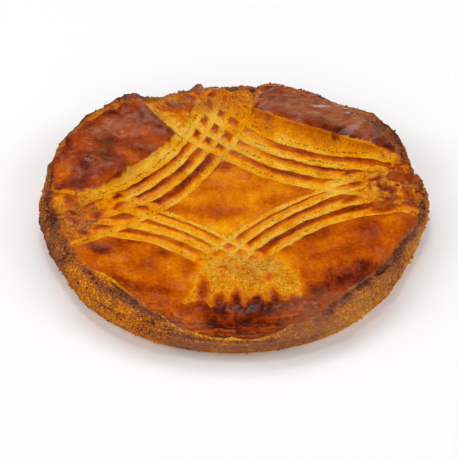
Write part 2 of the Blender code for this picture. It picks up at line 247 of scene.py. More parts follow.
class FinishTree:
    """The node tree of one finish, built node by node."""

    def __init__(self, name: str) -> None:
        """Make the material and find its shader.

        Args:
            name: the material's name.
        """
        self.material = bpy.data.materials.new(name)
        self.material.use_nodes = True
        self.nodes = self.material.node_tree.nodes
        self.shader = self.nodes["Principled BSDF"]

    def node(
        self,
        kind: str,
        settings: dict[str, Any] | None = None,
        places: dict[int | str, Any] | None = None,
        output: int | str = 0,
    ) -> Signal:
        """Add one node.

        Args:
            kind: the node's type.
            settings: its own settings, set before its sockets.
            places: a number, a colour or a Signal for each socket, by index or name.
            output: the output socket to give back.

        Returns:
            The chosen output.
        """
        made = self.nodes.new(kind)
        for name, value in (settings or {}).items():
            setattr(made, name, value)
        for place, value in (places or {}).items():
            self.feed(made.inputs[place], value)
        return Signal(self, made.outputs[output])

    def feed(self, socket: bpy.types.NodeSocket, value: Any) -> None:
        """Link a Signal to a socket, or set the socket's own value.

        Args:
            socket: the socket.
            value: a Signal, a number or a colour.
        """
        if isinstance(value, Signal):
            self.material.node_tree.links.new(value.socket, socket)
        else:
            socket.default_value = value

    def dress(self, inputs: dict[str, Any]) -> bpy.types.Material:
        """Feed the shader's inputs and give the finished material.

        Args:
            inputs: a Signal, a number or a colour for each of the shader's inputs.

        Returns:
            The material.
        """
        for name, value in inputs.items():
            self.feed(self.shader.inputs[name], value)
        return self.material

    def mix(self, share: Any, first: Any, second: Any) -> Signal:
        """Mix two colours: share 0 gives the first, 1 the second."""
        settings = {"data_type": "RGBA", "clamp_factor": True}
        return self.node("ShaderNodeMix", settings, {0: share, 6: first, 7: second}, output=2)

    def read(self, value: Baked) -> Signal:
        """Read one value that the mesh carries."""
        return self.node("ShaderNodeAttribute", {"attribute_name": value.value}, output="Fac")

    def place(self) -> Signal:
        """Give the object's own coordinates in millimetres."""
        spot = self.node("ShaderNodeTexCoord", output="Object")
        return self.node("ShaderNodeVectorMath", {"operation": "SCALE"}, {0: spot, "Scale": 1.0 / MM})

    def stretched(self, spot: Signal, scale: tuple[float, float, float], turn: float = 0.0) -> Signal:
        """Scale coordinates along each axis, after a turn in degrees about the upright one."""
        places = {"Vector": spot, "Rotation": (0.0, 0.0, math.radians(turn)), "Scale": scale}
        return self.node("ShaderNodeMapping", {}, places)

    def cloud(self, spot: Signal, size: float, detail: float = 3.0, rough: float = 0.55) -> Signal:
        """Give fractal noise from about 0 to 1, with features one size in millimetres apart."""
        settings = {"Vector": spot, "Scale": 1.0 / size, "Detail": detail, "Roughness": rough}
        return self.node("ShaderNodeTexNoise", {}, settings)

    def ramp(self, place: Signal, stops: tuple[Stop, ...]) -> Signal:
        """Turn a value into a colour.

        Args:
            place: the value, from 0 to 1.
            stops: the ramp's stops, in order.

        Returns:
            The colour.
        """
        colour = self.node("ShaderNodeValToRGB", {}, {"Fac": place})
        elements = colour.socket.node.color_ramp.elements
        for _ in range(len(stops) - len(elements)):
            elements.new(1.0)
        for element, stop in zip(elements, stops):
            element.position = stop.place
            element.color = screen_colour(stop.red, stop.green, stop.blue)
        return colour


@dataclass(frozen=True)
class Stop:
    """One stop of a colour ramp, its colour given as screen values from 0 to 255."""

    place: float
    red: float
    green: float
    blue: float


def screen_colour(*screen: float) -> tuple[float, ...]:
    """Turn screen values from 0 to 255 into light from 0 to 1, with full alpha."""
    parts = (value / 255.0 for value in screen)
    return (*(part / 12.92 if part <= 0.04045 else ((part + 0.055) / 1.055) ** 2.4 for part in parts), 1.0)


# ---------- the parts of the shape


@dataclass(frozen=True)
class Bow:
    """A line square to a heading, some way from the cake's middle and bent towards it."""

    heading: float
    offset: float
    bend: float

    def beyond(self, at: Ground) -> Array:
        """Give how far each point lies outside the bow."""
        out, side = turned(at.x, at.y, self.heading)
        return (out - self.offset - side**2 / (2.0 * self.bend)) / np.hypot(1.0, side / self.bend)


@dataclass(frozen=True)
class Tine(Bow):
    """The groove of one of the fork's tines."""

    half_width: float
    depth: float


@dataclass(frozen=True)
class Plate(Bow):
    """The skin beyond one pull of the fork, puffed up as it baked; the bow is its inner edge."""

    puff: float
    lumps: float
    spacing: float
    brown: float
    gloss: float


@dataclass(frozen=True)
class ForkPull:
    """One pull of the fork: its grooves, the ridges between them and the plate beyond."""

    tines: tuple[Tine, ...]
    plate: Plate
    ridge_brown: float


@dataclass(frozen=True)
class Sector:
    """A stretch of the cake's side round one heading."""

    heading: float
    half_width: float

    def near(self, heading: Array, power: float = 4.0) -> Array:
        """Give 1 at the sector's middle, falling to 0 outside its half width."""
        return bell(turn_apart(heading, self.heading), 0.0, self.half_width, power)


@dataclass(frozen=True)
class Swell(Sector):
    """A place where the edge reaches out and up."""

    reach: float
    rise: float


@dataclass(frozen=True)
class Slit(Sector):
    """A slit between two layers of dough in the wall."""

    height: float
    depth: float


@dataclass(frozen=True)
class Band(Sector):
    """A level stretch of the side where a value is raised or lowered: crumb baked darker or paler, or more
    bloomed crust and painted sheen.
    """

    down: float
    half_height: float
    amount: float

    def add(self, heading: Array, descent: Array) -> Array:
        """Give what the band adds at each point."""
        return self.amount * self.near(heading) * bell(descent, self.down, self.half_height)


@dataclass(frozen=True)
class Edge:
    """The skin's edge at one heading: where it ends and what lies outside it."""

    heading: float
    radius: float
    lip: float
    trench: float
    roll: float
    line: float = 0.0
    blend: float = 0.0
    crust: float = 0.0


@dataclass(frozen=True)
class Patch:
    """A round place on the plan, with how deep it is, how rough and how far split into lumps."""

    x: float
    y: float
    reach: float
    depth: float
    rough: float = 0.0
    split: float = 0.0

    def near(self, at: Ground, power: float) -> Array:
        """Give 1 at the patch's middle, falling to 0 outside its reach."""
        return bell(np.hypot(at.x - self.x, at.y - self.y), 0.0, self.reach, power)


@dataclass(frozen=True)
class Oval:
    """An oval place on the plan, turned by some degrees."""

    x: float
    y: float
    long: float
    wide: float
    turn: float

    def apart(self, at: Ground) -> Array:
        """Give the distance from the oval's middle: 1 on its outline."""
        along, across = turned(at.x - self.x, at.y - self.y, self.turn)
        return np.hypot(along / self.long, across / self.wide)


@dataclass(frozen=True)
class Tint(Oval):
    """A place where a value is raised or lowered: skin or crumb baked darker or paler, painted shade,
    bloomed skin and painted sheen, crinkled glaze with painted glints, or more gloss.
    """

    amount: float

    def add(self, at: Ground) -> Array:
        """Give what the tint adds at each point."""
        return self.amount * bell(self.apart(at), 0.0, 1.0, 2.8)


@dataclass(frozen=True)
class Pad(Oval):
    """An island of skin among the crumb."""

    brown: float
    rise: float = 0.8
    fade: float = 0.3

    def cover(self, at: Ground) -> Array:
        """Tell how far each point lies on the pad, from 0 to 1."""
        return smooth(self.apart(at) + at.ragged, 1.35, 0.65)

    def heart(self, at: Ground, wider: float = 1.0) -> Array:
        """Give the pad's browning, which fades from its middle to its edge."""
        return smooth(self.apart(at), 1.15 * wider, self.fade * wider)


@dataclass(frozen=True)
class Fan:
    """The spread of broken crumb where two pulls of the fork run off the cake together."""

    top: float = -47.0
    bottom: float = -81.0
    left: float = -11.5
    left_slope: float = 0.37
    right: float = 18.5
    right_slope: float = 1.05
    right_bend: float = 0.02

    def cover(self, at: Ground, soft: float = 1.0) -> Array:
        """Tell how far each point lies inside the fan.

        Args:
            at: the points.
            soft: widens the fan's soft edge.

        Returns:
            One number from 0 to 1 for each point.
        """
        down = self.top - at.y
        from_left = at.x - self.left + self.left_slope * down
        from_right = self.right + (self.right_slope - self.right_bend * down) * down - at.x
        from_bottom = at.y - self.bottom + 2.4 * noise(at.plan, 8.0, 127)
        inside = np.minimum.reduce((from_left, from_right, from_bottom))
        inside += 1.3 * noise(at.plan, 7.0, 125) + 0.7 * noise(at.plan, 2.6, 126)
        return smooth(inside, -1.2 * soft, 1.4) * smooth(down, -4.0, 6.0)


# ---------- the cake's shape


@dataclass(frozen=True)
class CakeShape:
    """The sizes of the turned loaf and of all that moves its surface."""

    widest_radius: float = 99.6
    widest_height: float = 11.5
    base_radius: float = 93.0
    base_edge: float = 1.2
    rim_radius: float = 88.5
    rim_height: float = 23.4
    centre_height: float = 19.0
    rim_tilt: float = 0.9
    plate_edge: float = 2.2
    torn_depth: float = 1.5
    crumb_fill: float = 0.45
    slit_half_height: float = 1.1
    wall_lumps: float = 0.9
    wall_crags: float = 0.6
    lip: float = 1.3
    shoulder_run: float = 17.5
    fissured_side: Sector = Sector(-168, 24)
    fan: Fan = Fan()
    far_left: ForkPull = ForkPull(
        (
            Tine(144.8, 22.6, 172, 2.1, 1.5),
            Tine(143.6, 31.2, 125, 1.9, 1.5),
            Tine(143.6, 39.2, 118, 1.9, 1.6),
            Tine(143.8, 46.8, 112, 2.3, 1.9),
        ),
        Plate(143.6, 55.3, 150, puff=1.1, lumps=1.5, spacing=15, brown=0.77, gloss=0.36),
        ridge_brown=0.79,
    )
    far_right: ForkPull = ForkPull(
        (
            Tine(60, 25.3, 200, 2.3, 1.5),
            Tine(60.6, 34.5, 140, 2.4, 1.5),
            Tine(59.4, 43.4, 112, 2.6, 1.6),
            Tine(59.6, 53.6, 118, 2.8, 1.8),
        ),
        Plate(60.3, 67, 900, puff=1.7, lumps=1.3, spacing=22, brown=0.84, gloss=0.60),
        ridge_brown=0.70,
    )
    near_right: ForkPull = ForkPull(
        (
            Tine(311, 20.1, 130, 1.7, 1.4),
            Tine(312.2, 27.1, 118, 1.6, 1.4),
            Tine(311, 34.4, 88, 2, 1.5),
            Tine(311.4, 43.8, 66, 1.9, 1.5),
        ),
        Plate(311.6, 47.6, 66, puff=0.8, lumps=0.8, spacing=24, brown=0.55, gloss=0.12),
        ridge_brown=0.74,
    )
    near_left: ForkPull = ForkPull(
        (
            Tine(236, 26.9, 132, 1.7, 1.3),
            Tine(236, 34.1, 120, 1.8, 1.4),
            Tine(237.6, 41.9, 80, 1.9, 1.5),
            Tine(238, 51.2, 70, 1.9, 1.5),
        ),
        Plate(238.6, 53.4, 68, puff=0.7, lumps=0.8, spacing=24, brown=0.54, gloss=0.12),
        ridge_brown=0.62,
    )
    pads: tuple[Pad, ...] = (
        # the crossing at the left
        Pad(-81.3, -14.3, 4.4, 1.6, -21, 0.84), Pad(-80.8, -21.3, 5, 1.7, -34, 0.84),
        Pad(-74.4, -30.4, 5.4, 1.7, -14, 0.8), Pad(-72.7, -8.7, 5.4, 2, 44, 0.8, 1.1),
        Pad(-69.1, -16.8, 4.6, 1.8, 33, 0.74), Pad(-66.5, -27.4, 4.6, 1.7, 24, 0.78),
        Pad(-56.4, -17.8, 4.6, 1.8, 32, 0.7), Pad(-59.1, -1.4, 4.4, 1.8, 27, 0.84),
        Pad(-58.7, -9.1, 4.4, 1.8, 33, 0.74), Pad(-46.8, -8.7, 4.8, 1.8, 27, 0.74),
        Pad(-84, -5, 5, 3, -60, 0.66, 1.2), Pad(-86, -29, 5, 2.6, -50, 0.62, 1),
        # the crossing at the right
        Pad(72.8, 11.6, 4.8, 1.8, 8, 0.82), Pad(78.6, 3.9, 6, 2.1, -20, 0.84),
        Pad(84.4, 12.1, 5.6, 4, 0, 0.7, 1.3, 0.6), Pad(62.3, 8.4, 4.8, 1.7, 16, 0.76),
        Pad(59.3, -3.6, 6.2, 2, 23, 0.72), Pad(76.4, -11.4, 10, 2.2, 11, 0.74),
        Pad(61.5, 17.5, 6.2, 1.7, 15, 0.84), Pad(91.7, 14.1, 5, 4.2, 70, 0.74, 1, 0.6),
        Pad(89.4, -1.7, 5, 3.4, 80, 0.62, 1.5, 0.6), Pad(84, 21, 5, 3, -30, 0.66, 1.2, 0.6),
        Pad(81, -4, 5, 2.6, 10, 0.7, 1.2, 0.5),
        # the crossing at the far side
        Pad(-32.5, 75, 8.5, 2.9, -38, 0.88), Pad(-52, 76.5, 7, 3.2, 8, 0.9),
        Pad(-15, 92, 15, 2.4, -2, 0.66, 0.2, 0.6), Pad(-23, 83.5, 5.5, 2.6, -36, 0.78),
        Pad(-12, 84.5, 3.2, 2.6, 0, 0.8), Pad(14, 74.5, 5, 2.8, -20, 0.66),
        # the crossing at the near side
        Pad(-2.1, -37.8, 2.8, 2.2, 0, 0.52), Pad(4.3, -42.5, 2.6, 2.2, 0, 0.3),
        Pad(-8.5, -43.5, 3.2, 2, 0, 0.44), Pad(11.4, -46, 3.2, 2.4, 0, 0.28),
        Pad(-16, -48.5, 3, 1.8, 0, 0.42), Pad(-5, -55, 3, 2.4, -10, 0.46),
        Pad(5.5, -57, 2.6, 2.2, 0, 0.46), Pad(17, -62, 3.4, 2.8, 20, 0.42),
        # the fingers of skin below the fan
        Pad(-14.6, -72, 11.5, 3.6, 89, 0.72, 0.8, 0.2), Pad(-7, -79.5, 8.5, 3.8, 88, 0.84, 0.8, 0.2),
        Pad(1.4, -78, 10, 3.4, 89, 0.88, 0.8, 0.2), Pad(11, -80, 9.5, 3.4, 84, 0.92, 0.8, 0.2),
        Pad(20, -78, 10, 3.6, 96, 0.84, 0.8, 0.2), Pad(29, -82, 7, 3.6, 100, 0.78, 0.8, 0.2),
    )
    swells: tuple[Swell, ...] = (
        Swell(160, 9, 2.6, 2.2), Swell(142, 12, 6.4, 1.9), Swell(127, 8, 1.6, 4.6),
        Swell(107, 9, -0.4, -0.8), Swell(88, 12, -0.4, 0.2), Swell(66, 14, 0.9, 2.3),
        Swell(40, 8, 3.4, 4.4), Swell(29, 6, 1.8, 2.8), Swell(17, 6, -0.8, -1.4),
        Swell(3, 8, 1.1, 0.5), Swell(-22, 13, -5.2, -0.4), Swell(-42, 12, -3.4, -0.3),
        Swell(-90, 16, -1.2, -1), Swell(-130, 14, -1, 0), Swell(-155, 12, -2.7, 0),
    )
    broken: tuple[Patch, ...] = (
        Patch(2, -62, 18, 0.8, 0.8), Patch(-14, -69, 11, 0.6, 0.6),
        Patch(18, -69, 12, 0.6, 0.6), Patch(82, 8, 20, 0.4, 2, 0.85),
        Patch(-80, -18, 16, 0.5, 0.9, 0.5), Patch(2, 86, 12, 0.3, 0.7, 0.4),
        Patch(-34, 75, 11, 0.3, 0.8, 0.5), Patch(-32, 63, 6.5, 0, 0.4),
        Patch(-48, 78, 8, 0.3, 0.8, 0.6),
    )
    skin_edge: tuple[Edge, ...] = (
        Edge(-165, 90.5, 0.2, 0.4, 0, 0, 4, 0.1), Edge(-148, 89.5, 0.3, 0.5, 0.2, 0, 1.5, 0.1),
        Edge(-138, 88.4, 0.7, 0.7, 0.4, 0.1, 0.2, 0.1), Edge(-130, 88.4, 1, 1.1, 0.6, 0.12, 0, 0.2),
        Edge(-121, 90.4, 0.8, 1.5, 0.6, 0.08, 0, 0.8), Edge(-114, 93.6, 0.4, 1, 0.4, 0.2, 0, 0.2),
        Edge(-104, 97, 0.2, 0.4, 0, 0.42), Edge(-88, 98, 0.2, 0.4, 0, 0.45),
        Edge(-76, 97.6, 0.2, 0.5, 0, 0.15, 0.6, 0.2), Edge(-66, 95.6, 0.2, 0.6, 0.1, 0, 1.2, 0.7),
        Edge(-58, 92.6, 0.3, 1, 0.3, 0, 0.8, 0.9), Edge(-50, 90.2, 0.6, 1.4, 0.6, 0, 0.3, 0.7),
        Edge(-42, 89.6, 0.8, 1.7, 0.8, 0, 0.3, 0.6), Edge(-32, 89.4, 0.8, 1.8, 0.8, 0, 0.3, 0.6),
        Edge(-21, 90.4, 0.7, 1.8, 1, 0, 0.3, 0.9), Edge(-14, 93, 0.5, 1.7, 0.6, 0, 0.5, 0.9),
        Edge(-5, 95.5, 0.4, 1.6, 0.4, 0, 0.8, 0.6), Edge(4, 97, 0.3, 1.2, 0.3, 0, 1, 0.5),
        Edge(15, 94.5, 0.3, 0.6, 0.2, 0, 1.2, 0.5), Edge(24, 90.6, 0.4, 0.5, 0, 0, 0.8, 0.8),
        Edge(32, 88.6, 0.3, 0.4, 0, 0, 0.6, 1), Edge(39, 87.4, 0.3, 0.4, 0, 0, 0.6, 0.8),
        Edge(45, 90.5, 0.3, 0.4, 0, 0, 0.6, 0.4), Edge(54, 95, 0.2, 0.3, 0),
        Edge(72, 93, 0.2, 0.3, 0), Edge(84, 91, 0.2, 0.3, 0),
        Edge(110, 91, 0.2, 0.3, 0), Edge(124, 87.5, 0.2, 0.4, 0, 0, 0.8, 0.3),
        Edge(134, 91.5, 0.2, 0.3, 0, 0, 1, 0.3), Edge(142, 95.5, 0.2, 0.3, 0, 0, 1.2),
        Edge(149, 97, 0.2, 0.3, 0, 0, 1.5), Edge(160, 97, 0.2, 0.3, 0, 0, 1.5),
        Edge(168, 96.5, 0.2, 0.3, 0, 0, 2), Edge(176, 93.5, 0.2, 0.4, 0, 0, 3),
    )
    healed: tuple[Oval, ...] = (
        Oval(-14, 93, 32, 7, 0), Oval(-58, 80, 18, 7, 30),
    )
    holes: tuple[Patch, ...] = (
        Patch(-1, 91, 2.6, 2.2), Patch(10, 89.5, 2.2, 1.6), Patch(-63, 66, 3, 1.4),
    )
    slits: tuple[Slit, ...] = (
        Slit(-97, 26, 12.5, 1.1), Slit(-84, 30, 8, 0.9), Slit(-128, 16, 15, 1),
        Slit(-34, 18, 12, 1), Slit(-20, 14, 7.5, 0.8), Slit(172, 20, 13, 0.9),
        Slit(110, 22, 10, 0.8), Slit(55, 20, 13, 0.9),
    )

    @property
    def pulls(self) -> tuple[ForkPull, ...]:
        """The fork's four pulls."""
        return (self.far_left, self.far_right, self.near_right, self.near_left)

    @property
    def tines(self) -> list[Tine]:
        """The grooves of all four pulls."""
        return [tine for pull in self.pulls for tine in pull.tines]

    def profile(self, top: int, shoulder: int, wall: int, base: int) -> list[tuple[float, float]]:
        """List the turned loaf's half outline, from the top's centre round to the base's centre.

        Args:
            top: steps over the dished top.
            shoulder: steps round the raised edge.
            wall: steps down the wall.
            base: steps round the base's edge and over the base.

        Returns:
            Pairs of radius and height.
        """
        outline = []
        for step in range(top):
            lift = (1.0 - math.cos(math.pi * step / top)) / 2.0
            height = self.centre_height + (self.rim_height - self.centre_height) * lift
            outline.append((self.rim_radius * step / top, height))
        for step in range(shoulder):
            turn = math.pi / 2.0 * step / shoulder
            out = (self.widest_radius - self.rim_radius) * math.sin(turn)
            up = (self.rim_height - self.widest_height) * math.cos(turn)
            outline.append((self.rim_radius + out, self.widest_height + up))
        for step in range(wall + 1):
            height = self.widest_height - (self.widest_height - self.base_edge) * step / wall
            ratio = height / self.widest_height
            bulge = (ratio + math.sin(math.pi / 2.0 * ratio)) / 2.0
            outline.append((self.base_radius + (self.widest_radius - self.base_radius) * bulge, height))
        foot = outline[-1][0] - self.base_edge
        for step in range(1, base + 1):
            turn = math.pi / 2.0 * step / base
            outline.append((foot + self.base_edge * math.cos(turn), self.base_edge * (1.0 - math.sin(turn))))
        for step in range(1, base + 1):
            outline.append((foot * (1.0 - step / base), 0.0))
        return outline

    def shaped(self, plain: Array) -> Array:
        """Move the plain loaf's points to the cake's true surface.

        Args:
            plain: rows of x, y, z on the turned loaf.

        Returns:
            Rows of x, y, z on the cake.
        """
        start = Ground(self, plain)
        out = plain[:, :2] / np.maximum(start.radius, 1e-6)[:, None]
        outer = smooth(start.radius, 60.0, self.widest_radius)
        reach = start.reach * outer * (0.35 + 0.65 * smooth(start.z, 1.0, self.widest_height))
        moved = plain + np.column_stack((out * reach[:, None], np.zeros(len(plain))))

        top = smooth(start.z, self.widest_height, self.rim_height - 2.0)
        top = np.where(start.radius < self.rim_radius, 1.0, top)
        top = np.where(start.z > self.widest_height, top, 0.0)
        tilt = self.rim_tilt * start.y / self.rim_radius
        rise = start.rise * smooth(start.radius, 62.0, self.rim_radius)
        ground = Ground(self, moved)
        lift = top * (ground.top_relief + tilt + rise)
        moved = moved + np.column_stack((top[:, None] * ground.leaning, lift))

        wall = smooth(start.radius, self.rim_radius, self.widest_radius - 3.0) * smooth(start.z, 0.0, 2.5)
        proud = np.where(start.z > 0.01, wall, 0.0) * Ground(self, moved, start.heading).wall_relief
        return moved + np.column_stack((out * proud[:, None], np.zeros(len(plain))))


class Ground:
    """Some points of the cake and what its shape says of each; every value is worked out once."""

    def __init__(self, shape: CakeShape, points: Array, heading: Array | None = None) -> None:
        """Keep the points.

        Args:
            shape: the cake's shape.
            points: rows of x, y, z.
            heading: the points' headings, where they are known from before a move.
        """
        self.shape = shape
        self.points = points
        self.x, self.y, self.z = points.T
        self.plan = points * (1.0, 1.0, 0.0)
        self.radius = np.hypot(self.x, self.y)
        self.heading = np.degrees(np.arctan2(self.y, self.x)) if heading is None else heading

    @cached_property
    def reach(self) -> Array:
        """How far the edge reaches out at each heading."""
        return sum(swell.reach * swell.near(self.heading, 2.0) for swell in self.shape.swells)

    @cached_property
    def rise(self) -> Array:
        """How far the edge rises at each heading."""
        return sum(swell.rise * swell.near(self.heading, 2.0) for swell in self.shape.swells)

    @cached_property
    def edge(self) -> Edge:
        """The skin edge's sizes at each heading, with arrays in place of numbers."""
        sizes = np.array([astuple(stop) for stop in self.shape.skin_edge]).T
        return Edge(*(np.interp(self.heading, sizes[0], size, period=360.0) for size in sizes))

    @cached_property
    def descent(self) -> Array:
        """How far down the side each point lies: 0 at the crest, 1 at the bulge, 2 at the base."""
        shape = self.shape
        out = (self.radius - shape.rim_radius - self.reach) / (shape.widest_radius - shape.rim_radius)
        up = (self.z - shape.widest_height) / (shape.rim_height + self.rise - shape.widest_height)
        shoulder = np.arctan2(np.maximum(out, 0.0), np.maximum(up, 1e-3)) / (math.pi / 2.0)
        return np.where(self.z > shape.widest_height, shoulder, 2.0 - self.z / shape.widest_height)

    @cached_property
    def outside(self) -> Array:
        """How far outside the skin's edge each point lies, along the cake's surface."""
        shape = self.shape
        crest = shape.rim_radius + self.reach
        run = np.where(self.radius < crest, self.radius - crest, shape.shoulder_run * self.descent)
        edge = self.edge.radius - crest
        out = np.clip(edge / (shape.widest_radius - shape.rim_radius), 0.0, 1.0)
        edge_run = np.where(edge < 0.0, edge, shape.shoulder_run * np.arcsin(out) / (math.pi / 2.0))
        return run - edge_run + 0.9 * noise(self.points, 9.0, 76) + 0.6 * noise(self.points, 3.5, 77)

    @cached_property
    def ragged(self) -> Array:
        """How far the pads' outlines stray."""
        return 0.22 * noise(self.plan, 3.0, 121)

    @cached_property
    def wander(self) -> Array:
        """How far the grooves stray sideways."""
        return 0.7 * noise(self.plan, 16.0, 11) + 0.35 * noise(self.plan, 5.0, 12)

    @cached_property
    def plate_wander(self) -> Array:
        """How far the plates' edges stray sideways."""
        return 0.6 * noise(self.plan, 14.0, 21)

    @cached_property
    def fan(self) -> Array:
        """How far inside the fan each point lies, from 0 to 1."""
        return self.shape.fan.cover(self)

    @cached_property
    def clear(self) -> Array:
        """Where grooves can show: 0 level with the fan but outside it, and 1 elsewhere."""
        return 1.0 - smooth(self.shape.fan.top - self.y, 0.0, 6.0) * (1.0 - self.fan)

    @cached_property
    def broken(self) -> Array:
        """How far inside the patches of broken skin each point lies, from 0 to 1."""
        patches = np.maximum.reduce([patch.near(self, 3.0) for patch in self.shape.broken])
        return np.maximum(patches * self.clear, self.fan)

    @cached_property
    def splitting(self) -> Array:
        """How far the broken skin split into lumps, from 0 to 1."""
        return np.maximum.reduce([patch.split * patch.near(self, 3.0) for patch in self.shape.broken])

    @cached_property
    def lump_middle(self) -> Array:
        """How near a lump's middle each point of the broken skin lies: 0 between two lumps."""
        return np.abs(noise(self.plan, 8.0, 65) + 0.3 * noise(self.plan, 3.0, 66))

    @cached_property
    def crevices(self) -> Array:
        """The crevices between the lumps of broken skin, from 0 to 1."""
        return self.splitting * smooth(self.lump_middle, 0.26, 0.02)

    @cached_property
    def lump_tops(self) -> Array:
        """Where a lump kept its skin, from 0 to 1."""
        return 0.9 * self.splitting * smooth(self.lump_middle, 0.18, 0.42)

    @cached_property
    def groove_distance(self) -> Array:
        """The distance from the middle of the nearest groove."""
        return np.minimum.reduce([np.abs(tine.beyond(self) + self.wander) for tine in self.shape.tines])

    def grooved(
        self, tine: Tine, wander: Array, inner: float, outer: float, wider: Array | float = 1.0
    ) -> Array:
        """Tell which points lie in a groove.

        Args:
            tine: the groove.
            wander: how far it strays sideways.
            inner: the share of its half width where its floor ends.
            outer: the share of its half width where it ends.
            wider: how much wider it is than its tine.

        Returns:
            One number from 0 to 1 for each point.
        """
        width = wider * tine.half_width
        return smooth(np.abs(tine.beyond(self) + wander), outer * width, inner * width)

    def torn(self, wander: Array) -> Array:
        """Tell which points lie on the torn crumb beside a plate.

        Args:
            wander: how far the torn strips stray sideways.

        Returns:
            One number from 0 to 1 for each point.
        """
        strips = []
        for pull in self.shape.pulls:
            inner = smooth(pull.tines[-1].beyond(self) + wander, -1.0, 1.0)
            strips.append(inner * smooth(pull.plate.beyond(self) + wander, 0.0, -self.shape.plate_edge))
        return np.maximum.reduce(strips) * self.clear

    @cached_property
    def scoring(self) -> Array:
        """The depth of the grooves and the torn crumb."""
        wander = self.wander
        depths = [tine.depth * self.grooved(tine, wander, 0.25, 1.8) for tine in self.shape.tines]
        depth = np.maximum.reduce((*depths, self.shape.torn_depth * self.torn(wander)))
        for place in self.shape.healed:
            depth = depth * smooth(place.apart(self), 0.6, 1.2)
        return depth * (1.0 - self.shape.crumb_fill * self.broken) * self.clear

    def past_edge(self, pull: ForkPull) -> Array:
        """Give how far each point lies beyond the straying inner edge of a pull's plate."""
        return pull.plate.beyond(self) + self.plate_wander

    @cached_property
    def strips(self) -> dict[ForkPull, Array]:
        """For each pull of the fork, which points lie in the strip that it covers."""
        covers = {}
        for pull in self.shape.pulls:
            first = smooth(pull.tines[0].beyond(self) + self.plate_wander, -2.5, 0.0)
            covers[pull] = first * smooth(self.past_edge(pull), 2.0, -1.0) * self.clear
        return covers

    def uncrossed(self, pull: ForkPull) -> Array:
        """Give 0 where another pull of the fork crosses and 1 elsewhere."""
        return np.prod([1.0 - self.strips[other] for other in self.strips if other is not pull], axis=0)

    def on_plate(self, pull: ForkPull) -> Array:
        """Tell which points lie on a pull's plate, from 0 to 1."""
        return smooth(self.past_edge(pull), -self.shape.plate_edge, 0.4) * self.uncrossed(pull)

    @cached_property
    def plate_relief(self) -> Array:
        """The height of the four puffed plates and their lumps."""
        height = np.zeros(len(self.points))
        for number, pull in enumerate(self.shape.pulls):
            bulge = pull.plate.puff * (0.35 + 0.65 * bell(self.past_edge(pull), 5.0, 9.0))
            lumps = layered_noise(self.plan, pull.plate.spacing, 3, 31 + 5 * number)
            height += self.on_plate(pull) * (bulge + pull.plate.lumps * lumps)
        return height

    @cached_property
    def leaning(self) -> Array:
        """How far each point leans along x and y, where a plate's edge hangs over the torn crumb."""
        shift = np.zeros((len(self.points), 2))
        for pull in self.shape.pulls:
            hanging = bell(self.past_edge(pull), 0.6, 1.5) * self.uncrossed(pull)
            lean = self.shape.lip * pull.plate.puff * hanging * smooth(self.radius, 90.0, 82.0)
            turn = math.radians(pull.plate.heading)
            shift -= lean[:, None] * (math.cos(turn), math.sin(turn))
        return shift

    @cached_property
    def crumble(self) -> Array:
        """How far the patches of broken skin stand lower and rougher."""
        grain = layered_noise(self.plan, 6.0, 2, 61) - 0.5 * np.abs(noise(self.plan, 3.6, 64))
        patches = self.shape.broken
        height = sum(patch.near(self, 3.0) * (patch.rough * grain - patch.depth) for patch in patches)
        return height - 1.5 * self.crevices

    @cached_property
    def trenches(self) -> Array:
        """The depth of the trench outside the skin's edge."""
        gaps = 0.75 + 0.5 * noise(self.points, 7.0, 79)
        return gaps * self.edge.trench * bell(self.outside, 1.7, 1.3)

    @cached_property
    def crust(self) -> Array:
        """How crusty and dark the band outside the skin's edge is, from 0 to 1."""
        return self.edge.crust * bell(self.outside, 2.0, 2.6)

    @cached_property
    def edge_relief(self) -> Array:
        """The crags, the lip, the trench, the rolled rim and the holes along the cake's edge."""
        height = 0.9 * smooth(self.radius, 78.0, 90.0) * layered_noise(self.points, 12.0, 3, 71)
        inside = np.maximum(-self.outside, 0.0)
        height += self.edge.lip * smooth(self.outside, 0.5, -0.6) * np.exp(-inside / 3.0)
        height += self.edge.roll * bell(self.outside, 4.2, 2.0) - self.trenches
        return height - sum(hole.depth * hole.near(self, 2.0) for hole in self.shape.holes)

    @cached_property
    def crumbly(self) -> Array:
        """Which points of the top lie on rough crumb, from 0 to 1."""
        wander = self.wander
        floors = [0.7 * self.clear * self.grooved(tine, wander, 0.45, 1.35) for tine in self.shape.tines]
        return np.maximum.reduce((*floors, self.torn(wander), self.broken, smooth(self.radius, 86.0, 92.0)))

    @cached_property
    def pits(self) -> Array:
        """The small pits between the crumb's grains, from 0 to 1."""
        return smooth(noise(self.points, 1.8, 105), 0.30, 0.75)

    @cached_property
    def lumps(self) -> tuple[Array, Array]:
        """The crumb's large and small lumps, from 0 between two lumps to 1."""
        return np.abs(noise(self.points, 4.6, 101)), np.abs(noise(self.points, 2.5, 102))

    @cached_property
    def grain(self) -> Array:
        """The relief of the crumb's lumps and grains, with the pits sunk between them."""
        large, small = self.lumps
        fine = 0.20 * noise(self.points, 1.5, 103)
        return 0.55 * large + 0.40 * small + fine - 0.55 * self.pits - 0.25

    @cached_property
    def fine_relief(self) -> Array:
        """The relief that only the dressed cake has: grain, pits, pads and wrinkles."""
        wrinkles = 0.16 * np.abs(noise(self.points, 5.0, 107)) + 0.10 * np.abs(noise(self.points, 2.4, 108))
        height = self.crumbly * self.grain + (1.0 - self.crumbly) * wrinkles
        height += (0.9 * self.crust + 0.6 * self.splitting) * layered_noise(self.points, 3.4, 2, 111)
        return height + sum(pad.rise * pad.cover(self) for pad in self.shape.pads)

    @cached_property
    def top_relief(self) -> Array:
        """The rise of the top over the plain turned loaf."""
        height = 0.35 * layered_noise(self.plan, 30.0, 3, 41) + self.plate_relief - self.scoring
        return height + self.crumble + self.edge_relief + self.fine_relief

